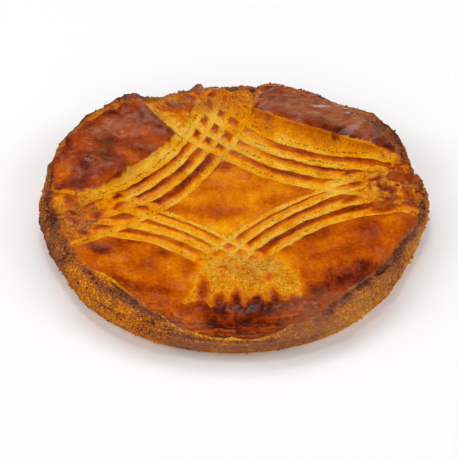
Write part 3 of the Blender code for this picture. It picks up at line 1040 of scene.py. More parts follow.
    @cached_property
    def fissures(self) -> Array:
        """The upright fissures of the wall, strongest at the left, from 0 to 1."""
        upright = noise(self.points * (1.0, 1.0, 0.4), 7.5, 95) + 0.35 * noise(self.points, 2.6, 96)
        side = 0.15 + 0.85 * self.shape.fissured_side.near(self.heading)
        return smooth(np.abs(upright), 0.16, 0.0) * side * smooth(noise(self.points, 11.0, 97), -0.4, 0.4)

    def slits(self, sharp: float = 1.0) -> Array:
        """Give the depth of the wall's slits.

        Args:
            sharp: narrows the slits.

        Returns:
            One depth for each point.
        """
        height = self.z + 1.2 * noise(self.points, 18.0, 91)
        depth = np.zeros(len(self.points))
        for slit in self.shape.slits:
            gap = bell(height, slit.height, self.shape.slit_half_height / sharp)
            depth += slit.depth * slit.near(self.heading) * gap
        return depth

    @cached_property
    def wall_relief(self) -> Array:
        """How far the wall stands out from the plain turned loaf."""
        bulge = self.shape.wall_lumps * layered_noise(self.points, 22.0, 2, 81)
        crags = self.shape.wall_crags * layered_noise(self.points * (1.0, 1.0, 1.8), 6.0, 2, 85)
        return bulge + crags + self.grain - self.slits() - 0.9 * self.fissures


# ---------- how it was baked, and where shade, sheen and glints are painted


class Baked(Enum):
    """The values that every point carries for the finish to read."""

    BROWNING = "browning"
    BARENESS = "bareness"
    # toasting, with painted shade in recesses
    TOASTING_AND_SHADE = "toasting_and_shade"
    GROOVE = "groove"
    # painted shade in the crumb's creases and pits
    PIT_SHADE = "hollow"
    # bloomed skin and painted sheen
    BLOOM = "bloom"
    WALL = "wall"
    COARSE = "coarse"
    # crinkled glaze, with painted glints
    CRINKLE_AND_GLINT = "crinkle_and_glint"
    GLOSS = "gloss"
    LAYERING = "layering"


@dataclass
class Baking:
    """How the cake baked at some points, and where shade, sheen and glints are painted into its colour."""

    at: Ground
    diamond_brown: float = 0.30
    corner_brown: float = 0.36
    plain_gloss: float = 0.24
    layered_side: Sector = Sector(-98, 36)
    skin_tints: tuple[Tint, ...] = (
        # the diamond in the middle
        Tint(-8, -10, 15, 4.5, 3, 0.2), Tint(-5, -13, 6, 4, 0, 0.12),
        Tint(19, -1.5, 9, 4.5, 10, 0.24), Tint(-4, 28, 7, 6, 60, 0.4),
        Tint(3, 20, 8, 4.5, -20, 0.16), Tint(-14, 7, 8, 3, 30, 0.12),
        Tint(-3, -27, 14, 6, 0, -0.2), Tint(0, -20, 22, 5, 0, -0.1),
        Tint(-32, -9, 7, 4, 20, 0.22), Tint(36, 7, 7, 4, -10, 0.22),
        Tint(22, 12, 12, 3, -25, 0.1),
        # the plate at the far left
        Tint(-38, 58, 12, 7, -35, 0.08), Tint(-60, 62, 16, 5, 0, 0.04),
        Tint(-47, 50, 5, 4, 0, -0.16), Tint(-56, 51, 6, 3, 20, -0.14),
        Tint(-55, 31, 8, 4, -40, -0.22), Tint(-63, 25, 9, 6, -20, 0.1),
        Tint(-60, 20, 8, 3, -30, 0.04), Tint(-66, 41, 6, 4, 0, 0.1),
        Tint(-77, 36, 6, 4, 0, -0.18), Tint(-76, 20, 5, 4, 40, 0.16),
        Tint(-80, 7, 9, 4.5, 0, 0.14), Tint(-72, 8, 5, 5, 0, -0.16),
        Tint(-88, 16, 5, 8, 0, -0.22), Tint(-90, 3, 4, 4, 0, 0.2),
        # the plate at the far right
        Tint(24, 76, 9, 2.8, -12, 0.26), Tint(40, 72, 14, 4, -12, 0.06),
        Tint(61, 54, 6, 2, -12, -0.2), Tint(33, 83, 9, 2, -8, -0.24),
        Tint(68, 47, 5, 3, -30, -0.1), Tint(80, 48, 8, 6, -50, 0.38),
        # The second tint on the next line is a thin dark line under the far right plate's overhanging lip:
        # painted shadow.
        Tint(84, 62, 8, 5, -50, 0.24), Tint(62, 42, 10, 2, -32, 0.16),
        # the plate at the near right
        Tint(46, -24, 20, 4, 22, 0.14), Tint(36, -31, 5, 3, 30, 0.12),
        Tint(48, -36, 8, 4, 20, -0.2), Tint(68, -30, 9, 9, 0, 0.14),
        Tint(70, -42, 8, 5, 0, 0.1), Tint(42, -44, 12, 1.8, 22, -0.16),
        Tint(22, -52, 8, 8, 0, -0.26), Tint(33, -56, 9, 6, 0, -0.12),
        Tint(57, -59, 14, 7, 24, 0.34), Tint(62, -66, 12, 3, 36, 0.12),
        Tint(47, -70, 16, 5, 18, 0.2), Tint(36, -76, 12, 4, 0, 0.16),
        Tint(78, -22, 7, 5, 0, -0.14),
        # the plate at the near left
        Tint(-66, -44, 7, 3, -30, 0.34), Tint(-50, -62, 7, 4, -20, -0.12),
        Tint(-58, -41, 6, 3, 0, 0.16), Tint(-50, -38, 8, 2, 0, 0.14),
        Tint(-40, -46, 6, 3, 10, 0.12), Tint(-22, -52, 4, 8, 0, 0.14),
        Tint(-30, -54, 6, 5, 0, -0.12), Tint(-55, -50, 8, 5, 0, -0.1),
        Tint(-44, -72, 14, 4, -22, 0.2), Tint(-30, -74, 10, 3, -10, 0.14),
        Tint(-27, -62, 4, 8, 0, -0.12),
        # the ridges and the near edge
        Tint(13, 45, 14, 16, -30, -0.36), Tint(86, 8, 12, 20, 0, 0.4),
        Tint(68, 31, 12, 4, -5, 0.2), Tint(50, 22, 9, 8, -10, 0.06),
        Tint(50, 13, 10, 5, 0, -0.14), Tint(0, -48, 22, 12, 0, -0.16),
        Tint(2, -86, 38, 6.5, 0, 0.28), Tint(13, -87, 10, 4.5, 0, 0.2),
        Tint(6, -95, 24, 4, 0, 0.12), Tint(-17, -92.5, 9, 3, -8, -0.12),
        Tint(-2, -93.5, 18, 2.6, 0, 0.12), Tint(-38, -28, 22, 8, -30, -0.12),
    )
    crumb_tints: tuple[Tint, ...] = (
        Tint(82, 8, 17, 24, 0, 0.14), Tint(80, 49, 14, 6, -50, 0.42),
        Tint(-66, 68, 24, 7, 42, 0.32), Tint(-80, -18, 14, 20, 0, 0.27),
        # The two tints on the next line paint shade into two of the holes in the far rim.
        Tint(-1, 91, 2.6, 2.6, 0, 0.7), Tint(10, 89.5, 2.2, 2.2, 0, 0.5),
        Tint(-62, -12, 12, 9, 20, 0.1), Tint(38, 54, 30, 9, -24, 0.22),
        Tint(58, 38, 20, 8, -24, 0.12), Tint(10, 64, 16, 12, 0, 0.18),
        Tint(-8, 78, 16, 8, 0, 0.2), Tint(-4, 88, 30, 8, 0, 0.22),
        Tint(-36, 72, 12, 7, -30, 0.2), Tint(-60, 76, 16, 6, 20, 0.24),
        Tint(2, -62, 26, 12, 0, 0.08), Tint(2, -79, 32, 7, 0, 0.3),
        Tint(-52, 20, 22, 8, 52, -0.06), Tint(-4, -26, 14, 8, 0, -0.08),
    )
    bloom_tints: tuple[Tint, ...] = (
        # Mauve-grey: bloomed skin and painted sheen; the strongest, on the far rim at (-14, 92), is a
        # painted reflection.
        Tint(-40, 60, 14, 7, -35, 0.3), Tint(-58, 40, 34, 17, 52, 0.32),
        Tint(-66, 52, 14, 5, 30, 0.75), Tint(-70, 22, 5, 5, 0, 0.25),
        Tint(-80, 8, 8, 6, 0, 0.15), Tint(44, 70, 34, 11, -18, 1.15),
        Tint(62, 54, 22, 7, -38, 0.9), Tint(25, -88, 14, 5, 0, 0.2),
        Tint(-22, -93, 12, 3, -8, 0.6), Tint(-63, -42, 9, 4, -20, 0.55),
        Tint(-20, 78, 20, 8, -20, 0.55), Tint(-78, -20, 12, 16, 0, 0.45),
        Tint(80, 8, 16, 16, 0, 0.3), Tint(-5, -9, 16, 5, 0, 0.3),
        Tint(-2, 38, 24, 20, 0, 0.25), Tint(3, -52, 22, 12, 0, 0.35),
        Tint(40, -77, 14, 4, 5, 0.4), Tint(33, -85, 16, 5, 12, 0.3),
        Tint(-14, 92, 18, 4, 0, 1.3), Tint(-52, 76, 9, 5, 0, 0.5),
        Tint(-32, 76, 9, 4, -38, 0.5), Tint(45, -42, 16, 2.2, 22, 0.2),
    )
    crinkle_and_glint_tints: tuple[Tint, ...] = (
        # Crinkled glossy glaze, flecked with painted glints.
        Tint(10, -84, 26, 5, 0, 1), Tint(40, -80, 14, 5, 14, 0.8),
        Tint(60, -68, 10, 4, 34, 0.5), Tint(-18, -76, 6, 3, 0, 0.6),
        Tint(-42, -72, 12, 3, -22, 0.5), Tint(-80, -2, 6, 6, 0, 0.5),
    )
    gloss_tints: tuple[Tint, ...] = (
        Tint(-14, 92, 18, 4, 0, 1), Tint(-52, 76, 10, 5, 0, 0.6),
        Tint(80, 48, 8, 6, -50, -0.45), Tint(-8, 50, 16, 16, 0, 0.35),
    )
    side_bands: tuple[Band, ...] = (
        Band(-126, 20, 0.3, 0.14, 0.28), Band(-166, 22, 1, 0.22, 0.34),
        Band(178, 20, 0.4, 0.3, 0.32), Band(-40, 36, 1.3, 0.6, -0.14),
        Band(-15, 9, 0.8, 0.5, -0.14), Band(-90, 30, 1.05, 0.3, 0.1),
        Band(-60, 14, 1.15, 0.6, -0.2), Band(-90, 9, 1.7, 0.3, 0.12),
    )
    bloom_bands: tuple[Band, ...] = (
        # Mauve-grey bands on the side: bloomed crust and painted sheen.
        Band(-88, 26, 1.3, 0.4, 0.9), Band(-40, 42, 1, 0.7, 0.75),
        Band(-124, 20, 0.35, 0.2, 0.35), Band(-166, 22, 1, 0.25, 0.3),
        Band(176, 20, 0.6, 0.5, 0.3), Band(110, 30, 0.4, 0.16, 0.6),
        Band(-158, 14, 0.8, 0.5, 0.4),
    )

    def tinted(self, tints: tuple[Tint, ...]) -> Array:
        """Add up what some tints give at each point."""
        return sum(tint.add(self.at) for tint in tints)

    @cached_property
    def browning(self) -> Array:
        """How brown the skin is: 0 yellow, 0.5 orange-brown, 1 nearly black; the ridges carry painted shade
        on their far sides.
        """
        at = self.at
        level = np.full(len(at.points), self.diamond_brown)
        for pull, strip in at.strips.items():
            level += strip * (pull.ridge_brown - level)
        for pull in at.shape.pulls:
            level += at.on_plate(pull) * (pull.plate.brown - level)
        level += self.tinted(self.skin_tints)
        level += 0.24 * smooth(at.descent, 0.1, 0.9) + 0.10 * layered_noise(at.points, 11.0, 3, 131)
        # The skin beside each groove is paler as it baked less; the pale band is shifted 1.5 mm, so each
        # ridge is darker on its far side, which is painted shade.
        shaded = Ground(at.shape, at.points - (0.0, 1.5, 0.0)).groove_distance
        strips = np.maximum.reduce(list(at.strips.values()))
        level *= 1.0 - 0.80 * strips * smooth(shaded, 2.9, 0.8)
        level += 0.8 * at.broken * (self.corner_brown - level) + 0.30 * smooth(at.lump_tops, 0.2, 0.7)
        level *= 1.0 - 0.5 * at.shape.fan.cover(at, 5.0) * smooth(at.y, -84.0, -74.0)
        for pad in at.shape.pads:
            level += pad.heart(at) * (pad.brown - level)
        return np.clip(level, 0.0, 1.0)

    @cached_property
    def bareness(self) -> Array:
        """How bare the crumb is: 0 under skin, 1 torn open."""
        at = self.at
        wander = at.wander + 0.35 * noise(at.plan, 2.4, 141) + 0.35 * noise(at.plan, 4.5, 142)
        wider = 1.0 + 0.3 * noise(at.plan, 11.0, 15)
        floors = [at.grooved(tine, wander, 0.4, 1.15, wider) for tine in at.shape.tines]
        ragged = 0.35 * layered_noise(at.points, 4.0, 2, 145)
        broken = smooth(at.broken - at.lump_tops + ragged, 0.35, 0.65)
        bare = np.maximum.reduce((np.maximum.reduce(floors) * at.clear, at.torn(wander), broken))
        for pad in at.shape.pads:
            bare = bare * (1.0 - pad.cover(at))
        return np.maximum(bare, smooth(at.outside, -0.1 - at.edge.blend, 0.5 + 0.4 * at.edge.blend))

    @cached_property
    def toasting_and_shade(self) -> Array:
        """How toasted the bare crumb is: 0 pale yellow, 1 dark brown; painted shade is added in the trench,
        the crevices, the slits, the fissures and two holes.
        """
        at = self.at
        descent = at.descent + 0.05 * noise(at.points, 7.0, 155)
        level = 0.08 + self.tinted(self.crumb_tints) + 0.14 * layered_noise(at.points, 9.0, 3, 151)
        level += 0.36 * smooth(descent, 0.0, 0.4)
        level += 0.12 * smooth(descent, 0.0, 0.3) * smooth(at.y, 10.0, 60.0)
        level += sum(band.add(at.heading, descent) for band in self.side_bands)
        # Painted shade in the trench outside the skin's edge.
        level += 0.55 * smooth(at.trenches, 0.5, 1.4) + 0.05 * at.edge.trench * bell(at.outside, 3.5, 2.6)
        # The crust outside the skin's edge baked darker; the crevices between lumps get painted shade.
        level += at.crust * (0.34 + 0.30 * noise(at.points, 3.6, 156)) + 0.40 * at.crevices
        # Painted shade in the wall's slits and fissures.
        level += 0.16 * np.minimum(at.slits(1.6), 1.0) + 0.24 * at.fissures * smooth(descent, 0.1, 0.5)
        for pad in at.shape.pads:
            level = np.maximum(level, 0.75 * pad.brown * pad.heart(at, 1.3))
        level += 0.05 * smooth(at.outside, -2.0, 0.0) * smooth(descent, 0.6, 0.3) * smooth(at.y, 30.0, 60.0)
        return np.clip(level - at.edge.line * bell(at.outside, 0.9, 0.6), 0.0, 1.0)

    @cached_property
    def blooming(self) -> Array:
        """How far the skin and crumb are mixed towards mauve-grey, from 0 to 1: partly their own pale
        bloomed patches, mostly painted sheen and reflections.
        """
        at = self.at
        level = 0.10 * layered_noise(at.points, 8.0, 3, 161) - 0.12 + self.tinted(self.bloom_tints)
        level += sum(band.add(at.heading, at.descent) for band in self.bloom_bands)
        return np.clip(level + 0.35 * at.crust, 0.0, 1.0)

    @cached_property
    def coarseness(self) -> Array:
        """How coarse the crumb's grain is: 0 smoothly torn, 1 rough."""
        edge = np.maximum(smooth(self.at.outside, 0.0, 2.0), smooth(self.at.descent, 0.05, 0.5))
        return np.maximum(0.7 * self.at.broken, edge)

    @cached_property
    def crinkle_and_glint_level(self) -> Array:
        """How crinkled the thick glaze is, from 0 to 1; it also flecks painted glints into the skin's
        colour.
        """
        return np.clip(self.tinted(self.crinkle_and_glint_tints), 0.0, 1.0)

    @cached_property
    def gloss(self) -> Array:
        """How glossy the skin is, from 0 to 1."""
        level = np.full(len(self.at.points), self.plain_gloss)
        for pull in self.at.shape.pulls:
            level += self.at.on_plate(pull) * (pull.plate.gloss - level)
        level += self.tinted(self.gloss_tints)
        return np.clip(np.maximum(level, 0.6 * self.crinkle_and_glint_level), 0.0, 1.0)

    @cached_property
    def layering(self) -> Array:
        """Where thin layers of dough show under the near skin, from 0 to 1."""
        outside = self.at.outside
        band = smooth(outside, -8.0, -4.0) * smooth(outside, 7.0, 3.0)
        return self.layered_side.near(self.at.heading) * band

    @cached_property
    def hollows(self) -> Array:
        """How much painted shade darkens the crumb's creases and pits, from 0 to 1."""
        large, small = self.at.lumps
        creases = np.minimum(0.65 * smooth(large, 0.30, 0.0) + 0.55 * smooth(small, 0.34, 0.0), 1.0)
        rough = np.maximum(self.at.broken, smooth(self.at.radius, 82.0, 90.0))
        return np.clip((0.55 * creases + 0.8 * self.at.pits) * (0.25 + 0.75 * rough), 0.0, 1.0)

    def values(self) -> dict[Baked, Array]:
        """Give every value that the finish reads.

        Returns:
            One number for each point, by value.
        """
        return {
            Baked.BROWNING: self.browning,
            Baked.BARENESS: self.bareness,
            Baked.TOASTING_AND_SHADE: self.toasting_and_shade,
            Baked.GROOVE: self.at.groove_distance,
            Baked.PIT_SHADE: self.hollows,
            Baked.BLOOM: self.blooming,
            Baked.WALL: smooth(self.at.descent, 0.25, 0.6),
            Baked.COARSE: self.coarseness,
            Baked.CRINKLE_AND_GLINT: self.crinkle_and_glint_level,
            Baked.GLOSS: self.gloss,
            Baked.LAYERING: self.layering,
        }


# ---------- finishes


@dataclass(frozen=True)
class CrustFinish:
    """The finish of the whole cake: glazed skin over bare crumb."""

    name: str = "butter_cake_crust"
    skin: tuple[Stop, ...] = (
        Stop(0.00, 238, 166, 20),
        Stop(0.20, 224, 136, 6),
        Stop(0.35, 208, 110, 2),
        Stop(0.50, 188, 85, 2),
        Stop(0.63, 166, 68, 4),
        Stop(0.76, 138, 49, 5),
        Stop(0.88, 106, 30, 6),
        Stop(1.00, 54, 18, 8),
    )
    crumb: tuple[Stop, ...] = (
        Stop(0.00, 255, 200, 76),
        Stop(0.12, 252, 176, 28),
        Stop(0.26, 242, 150, 8),
        Stop(0.40, 226, 126, 10),
        Stop(0.54, 198, 110, 42),
        Stop(0.68, 162, 90, 50),
        Stop(0.84, 112, 58, 34),
        Stop(1.00, 56, 26, 16),
    )
    # Mauve-grey for the skin's pale bloomed patches and for painted sheen and reflections.
    bloom: tuple[float, ...] = screen_colour(160, 98, 66)
    # Mauve-grey for the crumb's bloomed patches and for painted sheen on its grains.
    crumb_bloom_and_sheen: tuple[float, ...] = screen_colour(150, 96, 76)
    # Dark brown for the crumb's pores and cracks: painted shade inside them.
    crack_shade: tuple[float, ...] = screen_colour(88, 40, 12)
    skin_rough: float = 0.36
    crumb_rough: float = 0.85
    coat_rough: float = 0.2
    bump_height: float = 0.7

    def material(self) -> bpy.types.Material:
        """Build the finish.

        Returns:
            The material.
        """
        tree = FinishTree(self.name)
        spot = tree.place()
        brown, bare, toast_and_shade, groove, hollow, bloom, *rest = (tree.read(value) for value in Baked)
        wall, coarse, crinkle_and_glint, gloss, layering = rest

        smear = tree.node("ShaderNodeVectorMath", {"operation": "MULTIPLY"}, {0: spot, 1: (1.1, 0.7, 1.0)})
        mottle = tree.cloud(smear, 6.0, 6.0, 0.68) - 0.5
        streak = tree.cloud(spot, 2.2, 3.0, 0.6) - 0.5
        grain = tree.cloud(spot, 1.2) - 0.5
        fleck = tree.cloud(spot, 0.6, 2.0) - 0.5
        sheet = tree.cloud(tree.stretched(spot, (0.06, 0.06, 1.6)), 1.4, 3.0, 0.6) - 0.5
        drag = tree.cloud(tree.stretched(spot, (0.45, 1.0, 1.0), 28.0), 3.0, 5.0, 0.65) - 0.5
        layers = tree.cloud(tree.stretched(spot, (0.3, 0.3, 1.5)), 2.6, 4.0, 0.65) - 0.5
        ragged = (bare + streak * 0.25 + grain * 0.30).rise(0.22, 0.78)

        skin_level = brown + mottle * 0.60 + streak * 0.34 + grain * 0.40 + sheet * layering * 1.6
        # Painted sheen: brown skin is mixed towards mauve-grey, partly its own bloomed patches, mostly
        # painted reflection.
        bloom_and_sheen_share = bloom * (skin_level.rise(0.30, 0.80) * (drag * 3.2 + 0.75))
        # Painted glints: mauve flecks on the crinkled glaze.
        bloom_and_sheen_share = bloom_and_sheen_share + crinkle_and_glint * (grain * 3.0 + fleck * 2.4 - 0.45).clamped()
        skin_tone = tree.mix(bloom_and_sheen_share.clamped(), tree.ramp(skin_level.clamped(), self.skin), self.bloom)

        rough_crumb = coarse * (1.0 - wall * 0.3) * 0.55 + 0.45
        # Painted shade: the crumb is darker in its creases and pits.
        crumb_level = toast_and_shade + (grain * 0.7 + fleck * 1.3) * rough_crumb + hollow * 0.14
        crumb_level = crumb_level + mottle * (1.0 - wall * 0.4) * 0.24
        crumb_level = crumb_level + layers * wall * 0.36 + sheet * layering * 0.8
        speck = (grain + streak * 0.5 + fleck * 0.5).rise(-0.02, -0.16)
        crumb_level = crumb_level + (0.04 - speck * 0.20) * wall
        # The crumb is mixed towards mauve-grey too: bloomed patches and painted sheen.
        crumb_bloom_and_sheen_share = (bloom * (streak * 1.2 + 0.85)).clamped()
        crumb_tone = tree.mix(crumb_bloom_and_sheen_share, tree.ramp(crumb_level.clamped(), self.crumb), self.crumb_bloom_and_sheen)

        # Dark pores and cracks in the crumb: painted shade inside them, with a small dent in the bump.
        cell = tree.node("ShaderNodeTexVoronoi", {"feature": "F1"}, {"Vector": spot, "Scale": 0.5})
        pores = (1.0 - (cell + grain * 0.5).rise(0.08, 0.26)) * tree.cloud(spot, 6.0, 1.0).rise(0.46, 0.62)
        brink = groove + streak * 1.6
        beside = brink.rise(1.0, 1.5) * (1.0 - brink.rise(1.9, 2.4))
        beside = beside * tree.cloud(spot, 9.0, 2.0).rise(0.38, 0.52)
        crack_shade = beside * (1.0 - coarse) * (0.5 + fleck * 1.0 + grain).rise(0.50, 0.62)
        dark = ((pores * (1.0 - coarse * 0.75) + crack_shade) * ragged).clamped()
        crumb_with_pore_shade = tree.mix(dark * 0.75, crumb_tone, self.crack_shade)

        rough = ragged * (self.crumb_rough - self.skin_rough) + (self.skin_rough + streak * 0.2)
        glaze = tree.cloud(spot, 9.0).rise(0.40, 0.62)
        coat = (1.0 - ragged) * (glaze * 0.75 + 0.25) * gloss
        crumb_height = grain * 1.4 + fleck * 1.0 - dark * 0.8
        skin_height = streak * 0.22 + fleck * 0.08 + (grain * 1.4 + fleck * 0.6) * crinkle_and_glint
        height = skin_height + ragged * (crumb_height - skin_height)
        relief = {"Strength": 1.0, "Distance": self.bump_height * MM, "Height": height}
        return tree.dress(
            {
                "Base Color": tree.mix(ragged, skin_tone, crumb_with_pore_shade),
                "Roughness": rough.clamped(),
                "Coat Weight": coat.clamped(),
                "Coat Roughness": self.coat_rough,
                "Specular IOR Level": 0.0,
                "Normal": tree.node("ShaderNodeBump", {}, relief),
            }
        )


@dataclass(frozen=True)
class FloorFinish:
    """The plain pale floor."""

    name: str = "pale_floor"
    brightness: float = 0.93
    rough: float = 0.9

    def material(self) -> bpy.types.Material:
        """Build the finish.

        Returns:
            The material.
        """
        colour = (self.brightness, self.brightness, self.brightness, 1.0)
        return FinishTree(self.name).dress(
            {"Base Color": colour, "Roughness": self.rough, "Specular IOR Level": 0.0}
        )


# ---------- the pieces


@dataclass
class CakeBody:
    """The cake as one closed mesh, turned, shaped, thinned and finished."""

    shape: CakeShape
    finish: CrustFinish
    name: str = "butter_cake"
    turn_steps: int = 1200
    top_steps: int = 180
    shoulder_steps: int = 34
    wall_steps: int = 26
    base_steps: int = 3
    faces: int = 194000
    top_descent: float = 0.55
    base_height: float = 0.35
    map_gap: float = 0.005
    map_margin: float = 6.0
    map_top: float = 0.72
    map_base: float = 0.22
    strips: int = 3
    strip_size: tuple[float, float] = (0.76, 0.072)
    strip_corner: tuple[float, float] = (0.03, 0.01)
    strip_step: float = 0.088
    strip_foot: float = 2.05
    strip_descent: float = 1.6

    def loaf(self) -> bpy.types.Mesh:
        """Turn the profile into the plain closed loaf.

        Returns:
            The loaf's mesh.
        """
        sizes = (self.top_steps, self.shoulder_steps, self.wall_steps, self.base_steps)
        points = [(radius * MM, 0.0, height * MM) for radius, height in self.shape.profile(*sizes)]
        outline = bpy.data.meshes.new("loaf_profile")
        outline.from_pydata(points, list(itertools.pairwise(range(len(points)))), [])
        settings = {
            "axis": "Z",
            "steps": self.turn_steps,
            "render_steps": self.turn_steps,
            "use_merge_vertices": True,
            "merge_threshold": 0.01 * MM,
        }
        return modified(outline, "SCREW", settings)

    def thinned(self, mesh: bpy.types.Mesh) -> bpy.types.Mesh:
        """Thin a mesh, keeping its faces where the relief needs them.

        Args:
            mesh: the dense mesh, which is removed.

        Returns:
            The mesh with the wanted number of faces.
        """
        mesh.calc_loop_triangles()
        ratio = min(1.0, self.faces / len(mesh.loop_triangles))
        return modified(mesh, "DECIMATE", {"use_collapse_triangulate": True, "ratio": ratio})

    def lay_out(self, mesh: bpy.types.Mesh, at: Ground) -> None:
        """Lay the surface out flat: the top and the base as discs, the wall as three strips.

        Args:
            mesh: the cake's mesh.
            at: its points.
        """
        faces = triangles_of(mesh)
        middle = Ground(self.shape, at.points[faces].mean(axis=1))
        top = at.descent[faces].mean(axis=1) < self.top_descent
        base = (middle.z < self.base_height) & (middle.radius < self.shape.base_radius - 1.0)
        side = ~(top | base)

        plan = at.points[faces][:, :, :2] / (2.0 * (self.shape.widest_radius + self.map_margin))
        far = 1.0 - self.map_gap
        place = plan * self.map_top + (self.map_gap + self.map_top / 2.0, far - self.map_top / 2.0)
        place[base] = plan[base] * self.map_base + (far - self.map_base / 2.0, far - self.map_base / 2.0)

        arc = 360.0 / self.strips
        heading = middle.heading[:, None]
        strip = np.clip(np.floor((heading + 180.0) / arc), 0, self.strips - 1)
        round_side = heading + turn_apart(at.heading[faces] - heading, 0.0) + 180.0
        along = self.strip_corner[0] + (round_side / arc - strip) * self.strip_size[0]
        up = (self.strip_foot - at.descent[faces]) / self.strip_descent * self.strip_size[1]
        wall = np.stack((along, self.strip_corner[1] + strip * self.strip_step + up), axis=-1)
        place[side] = wall[side]
        layer = mesh.uv_layers.new(name=BAKE_MAP)
        layer.data.foreach_set("uv", place.astype(np.float32).ravel())

    def build(self) -> bpy.types.Object:
        """Make the cake.

        Returns:
            The cake's object.
        """
        dense = self.loaf()
        shaped = self.shape.shaped(points_of(dense)) * MM
        dense.vertices.foreach_set("co", shaped.ravel())
        dense.update()
        mesh = self.thinned(dense)
        mesh.name = self.name
        at = Ground(self.shape, points_of(mesh))
        for value, numbers in Baking(at).values().items():
            carry(mesh, value, numbers)
        self.lay_out(mesh, at)
        mesh.shade_smooth()
        mesh.materials.clear()
        mesh.materials.append(self.finish.material())
        return add_object(self.name, mesh)


@dataclass
class Crumbs:
    """Small loose grains half sunk in the torn crumb, as one mesh."""

    shape: CakeShape
    name: str = "loose_crumbs"
    count: int = 1800
    kinds: int = 6
    smallest: float = 0.30
    largest: float = 0.80
    crowding: float = 2.2
    lumpiness: float = 0.35
    sunk: float = 0.35
    least_bareness: float = 0.6
    toast_spread: float = 0.16
    seed: int = 7

    def likely(self, at: Ground) -> Array:
        """Give how likely a crumb is at each point.

        Args:
            at: the points.

        Returns:
            One chance for each point.
        """
        rim = bell(at.radius, self.shape.rim_radius + 1.5, 4.0)
        chance = 0.04 + 1.2 * at.broken + rim + 0.02 * smooth(at.descent, 0.1, 0.4)
        return chance * (Baking(at).bareness > self.least_bareness) * (at.z > 1.0)

    def ball(self) -> tuple[Array, Array]:
        """Give the points and the faces of a ball of radius 1.

        Returns:
            Rows of x, y, z, and rows of point numbers.
        """
        ball = bmesh.new()
        bmesh.ops.create_icosphere(ball, subdivisions=1, radius=1.0)
        points = np.array([vert.co for vert in ball.verts])
        faces = np.array([[vert.index for vert in face.verts] for face in ball.faces])
        ball.free()
        return points, faces

    def build(self, cake: bpy.types.Object) -> bpy.types.Object:
        """Scatter the crumbs over the cake.

        Args:
            cake: the cake's object.

        Returns:
            The crumbs' object.
        """
        rng = np.random.default_rng(self.seed)
        corners = points_of(cake.data)[triangles_of(cake.data)]
        first, second, third = (corners[:, column] for column in range(3))
        normal = np.cross(second - first, third - first)
        area = np.linalg.norm(normal, axis=1)
        normal /= np.maximum(area, 1e-9)[:, None]
        middle = (first + second + third) / 3.0
        weight = area * self.likely(Ground(self.shape, middle))
        picked = rng.choice(len(corners), self.count, p=weight / weight.sum())

        ball, faces = self.ball()
        swollen = [1.0 + self.lumpiness * noise(ball, 0.9, 200 + kind) for kind in range(self.kinds)]
        shapes = [ball * swell[:, None] for swell in swollen]
        size = self.smallest + (self.largest - self.smallest) * rng.random(self.count) ** self.crowding
        spots = middle[picked] + normal[picked] * (size * (1.0 - self.sunk) * 0.6)[:, None]
        grains = []
        for number in range(self.count):
            turn = Euler(rng.random(3) * math.tau).to_matrix()
            stretch = 0.75 + 0.5 * rng.random(3)
            body = (shapes[number % self.kinds] * stretch) @ np.array(turn)
            grains.append(spots[number] + body * size[number])
        all_faces = [faces + number * len(ball) for number in range(self.count)]
        mesh = bpy.data.meshes.new(self.name)
        mesh.from_pydata((np.concatenate(grains) * MM).tolist(), [], np.concatenate(all_faces).tolist())
        self.dress(mesh, spots, len(ball), rng)
        mesh.materials.append(cake.data.materials[0])
        return add_object(self.name, mesh)

    def dress(self, mesh: bpy.types.Mesh, spots: Array, each: int, rng: np.random.Generator) -> None:
        """Give every grain the values of the place it lies on, painted shade and sheen included, a little
        more or less toasted.

        Args:
            mesh: the crumbs' mesh.
            spots: where each grain lies.
            each: how many points a grain has.
            rng: the source of chance.
        """
        baking = Baking(Ground(self.shape, spots))
        toast_and_shade = baking.toasting_and_shade + self.toast_spread * (rng.random(self.count) - 0.55)
        values = dict.fromkeys(Baked, np.zeros(self.count)) | {
            Baked.BARENESS: np.ones(self.count),
            Baked.TOASTING_AND_SHADE: np.clip(toast_and_shade, 0.0, 1.0),
            Baked.GROOVE: np.full(self.count, 99.0),
            Baked.BLOOM: baking.blooming,
            Baked.COARSE: np.ones(self.count),
        }
        for value, numbers in values.items():
            carry(mesh, value, np.repeat(numbers, each))
        mesh.shade_smooth()


# ---------- the studio


@dataclass(frozen=True)
class SoftLight:
    """One soft rectangular light that looks at the cake."""

    name: str
    place: tuple[float, float, float]
    size: tuple[float, float]
    power: float

    def build(self, aim: Vector) -> None:
        """Make the light.

        Args:
            aim: where it looks.
        """
        data = bpy.data.lights.new(self.name, "AREA")
        data.shape = "RECTANGLE"
        data.size, data.size_y = self.size
        data.energy = self.power
        light = add_object(self.name, data)
        light.location = self.place
        light.rotation_euler = (aim - Vector(self.place)).to_track_quat("-Z", "Y").to_euler()


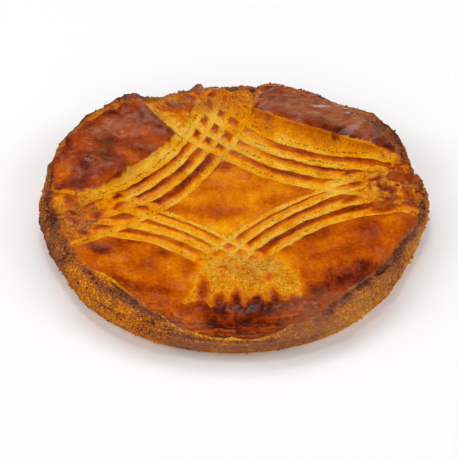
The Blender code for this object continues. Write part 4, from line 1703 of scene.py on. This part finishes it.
@dataclass(frozen=True)
class Studio:
    """The floor, the soft lights, the surroundings and the camera."""

    elevation: float = 39.5
    distance: float = 0.9
    aim_height: float = 0.015
    picture_width: float = 458.0
    focal_pixels: float = 1755.0
    centre_pixel: tuple[float, float] = (233.5, 205.4)
    floor_size: float = 6.0
    surround: float = 0.06
    floor: FloorFinish = FloorFinish()
    lights: tuple[SoftLight, ...] = (
        SoftLight("back_softbox", (-0.10, 0.55, 1.05), (1.2, 0.5), 6.0),
        SoftLight("left_softbox", (-1.10, -0.15, 0.85), (0.8, 0.8), 7.5),
        SoftLight("right_softbox", (1.10, -0.15, 0.85), (0.8, 0.8), 6.5),
        SoftLight("overhead_spark", (-0.04, -0.06, 1.10), (0.14, 0.14), 1.3),
        SoftLight("front_fill", (0.05, -1.30, 0.70), (1.6, 0.8), 9.5),
        SoftLight("low_backdrop", (0.05, 1.30, 0.12), (2.0, 0.2), 6.0),
    )

    def build_floor(self) -> None:
        """Make the floor that the cake stands on."""
        sides = (-self.floor_size / 2.0, self.floor_size / 2.0)
        mesh = bpy.data.meshes.new("pale_floor")
        mesh.from_pydata([(x, y, 0.0) for y in sides for x in sides], [], [(0, 1, 3, 2)])
        mesh.materials.append(self.floor.material())
        floor = add_object("pale_floor", mesh)

    def build_camera(self) -> None:
        """Make the camera at the photograph's angle and framing."""
        data = bpy.data.cameras.new("camera")
        data.sensor_width = 36.0
        data.lens = self.focal_pixels / self.picture_width * data.sensor_width
        data.shift_x = 0.5 - self.centre_pixel[0] / self.picture_width
        data.shift_y = self.centre_pixel[1] / self.picture_width - 0.5
        camera = add_object("camera", data)
        rise = math.radians(self.elevation)
        height = self.aim_height + self.distance * math.sin(rise)
        camera.location = (0.0, -self.distance * math.cos(rise), height)
        camera.rotation_euler = Euler((math.pi / 2.0 - rise, 0.0, 0.0))
        bpy.context.scene.camera = camera

    def build_surroundings(self) -> None:
        """Fill the room with an even pale light."""
        world = bpy.data.worlds.new("studio")
        world.use_nodes = True
        background = world.node_tree.nodes["Background"]
        background.inputs["Color"].default_value = (1.0, 1.0, 1.0, 1.0)
        background.inputs["Strength"].default_value = self.surround
        bpy.context.scene.world = world
        bpy.context.scene.view_settings.view_transform = "Standard"

    def build(self) -> None:
        """Make the whole studio."""
        self.build_floor()
        self.build_camera()
        self.build_surroundings()
        for light in self.lights:
            light.build(Vector((0.0, 0.0, self.aim_height)))


# ---------- putting it together


def main() -> None:
    """Load the frame, build each piece and report it."""
    logging.basicConfig(level=logging.INFO, format="%(message)s")
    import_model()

    shape = CakeShape()
    cake = CakeBody(shape, CrustFinish()).build()
    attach(cake, "root")
    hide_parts(NODE)
    LOG.info("cake: %d faces", len(cake.data.polygons))

    crumbs = Crumbs(shape).build(cake)
    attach(crumbs, "root")
    LOG.info("crumbs: %d faces", len(crumbs.data.polygons))

    Studio().build()
    LOG.info("studio ready")


if __name__ == "__main__":
    main()
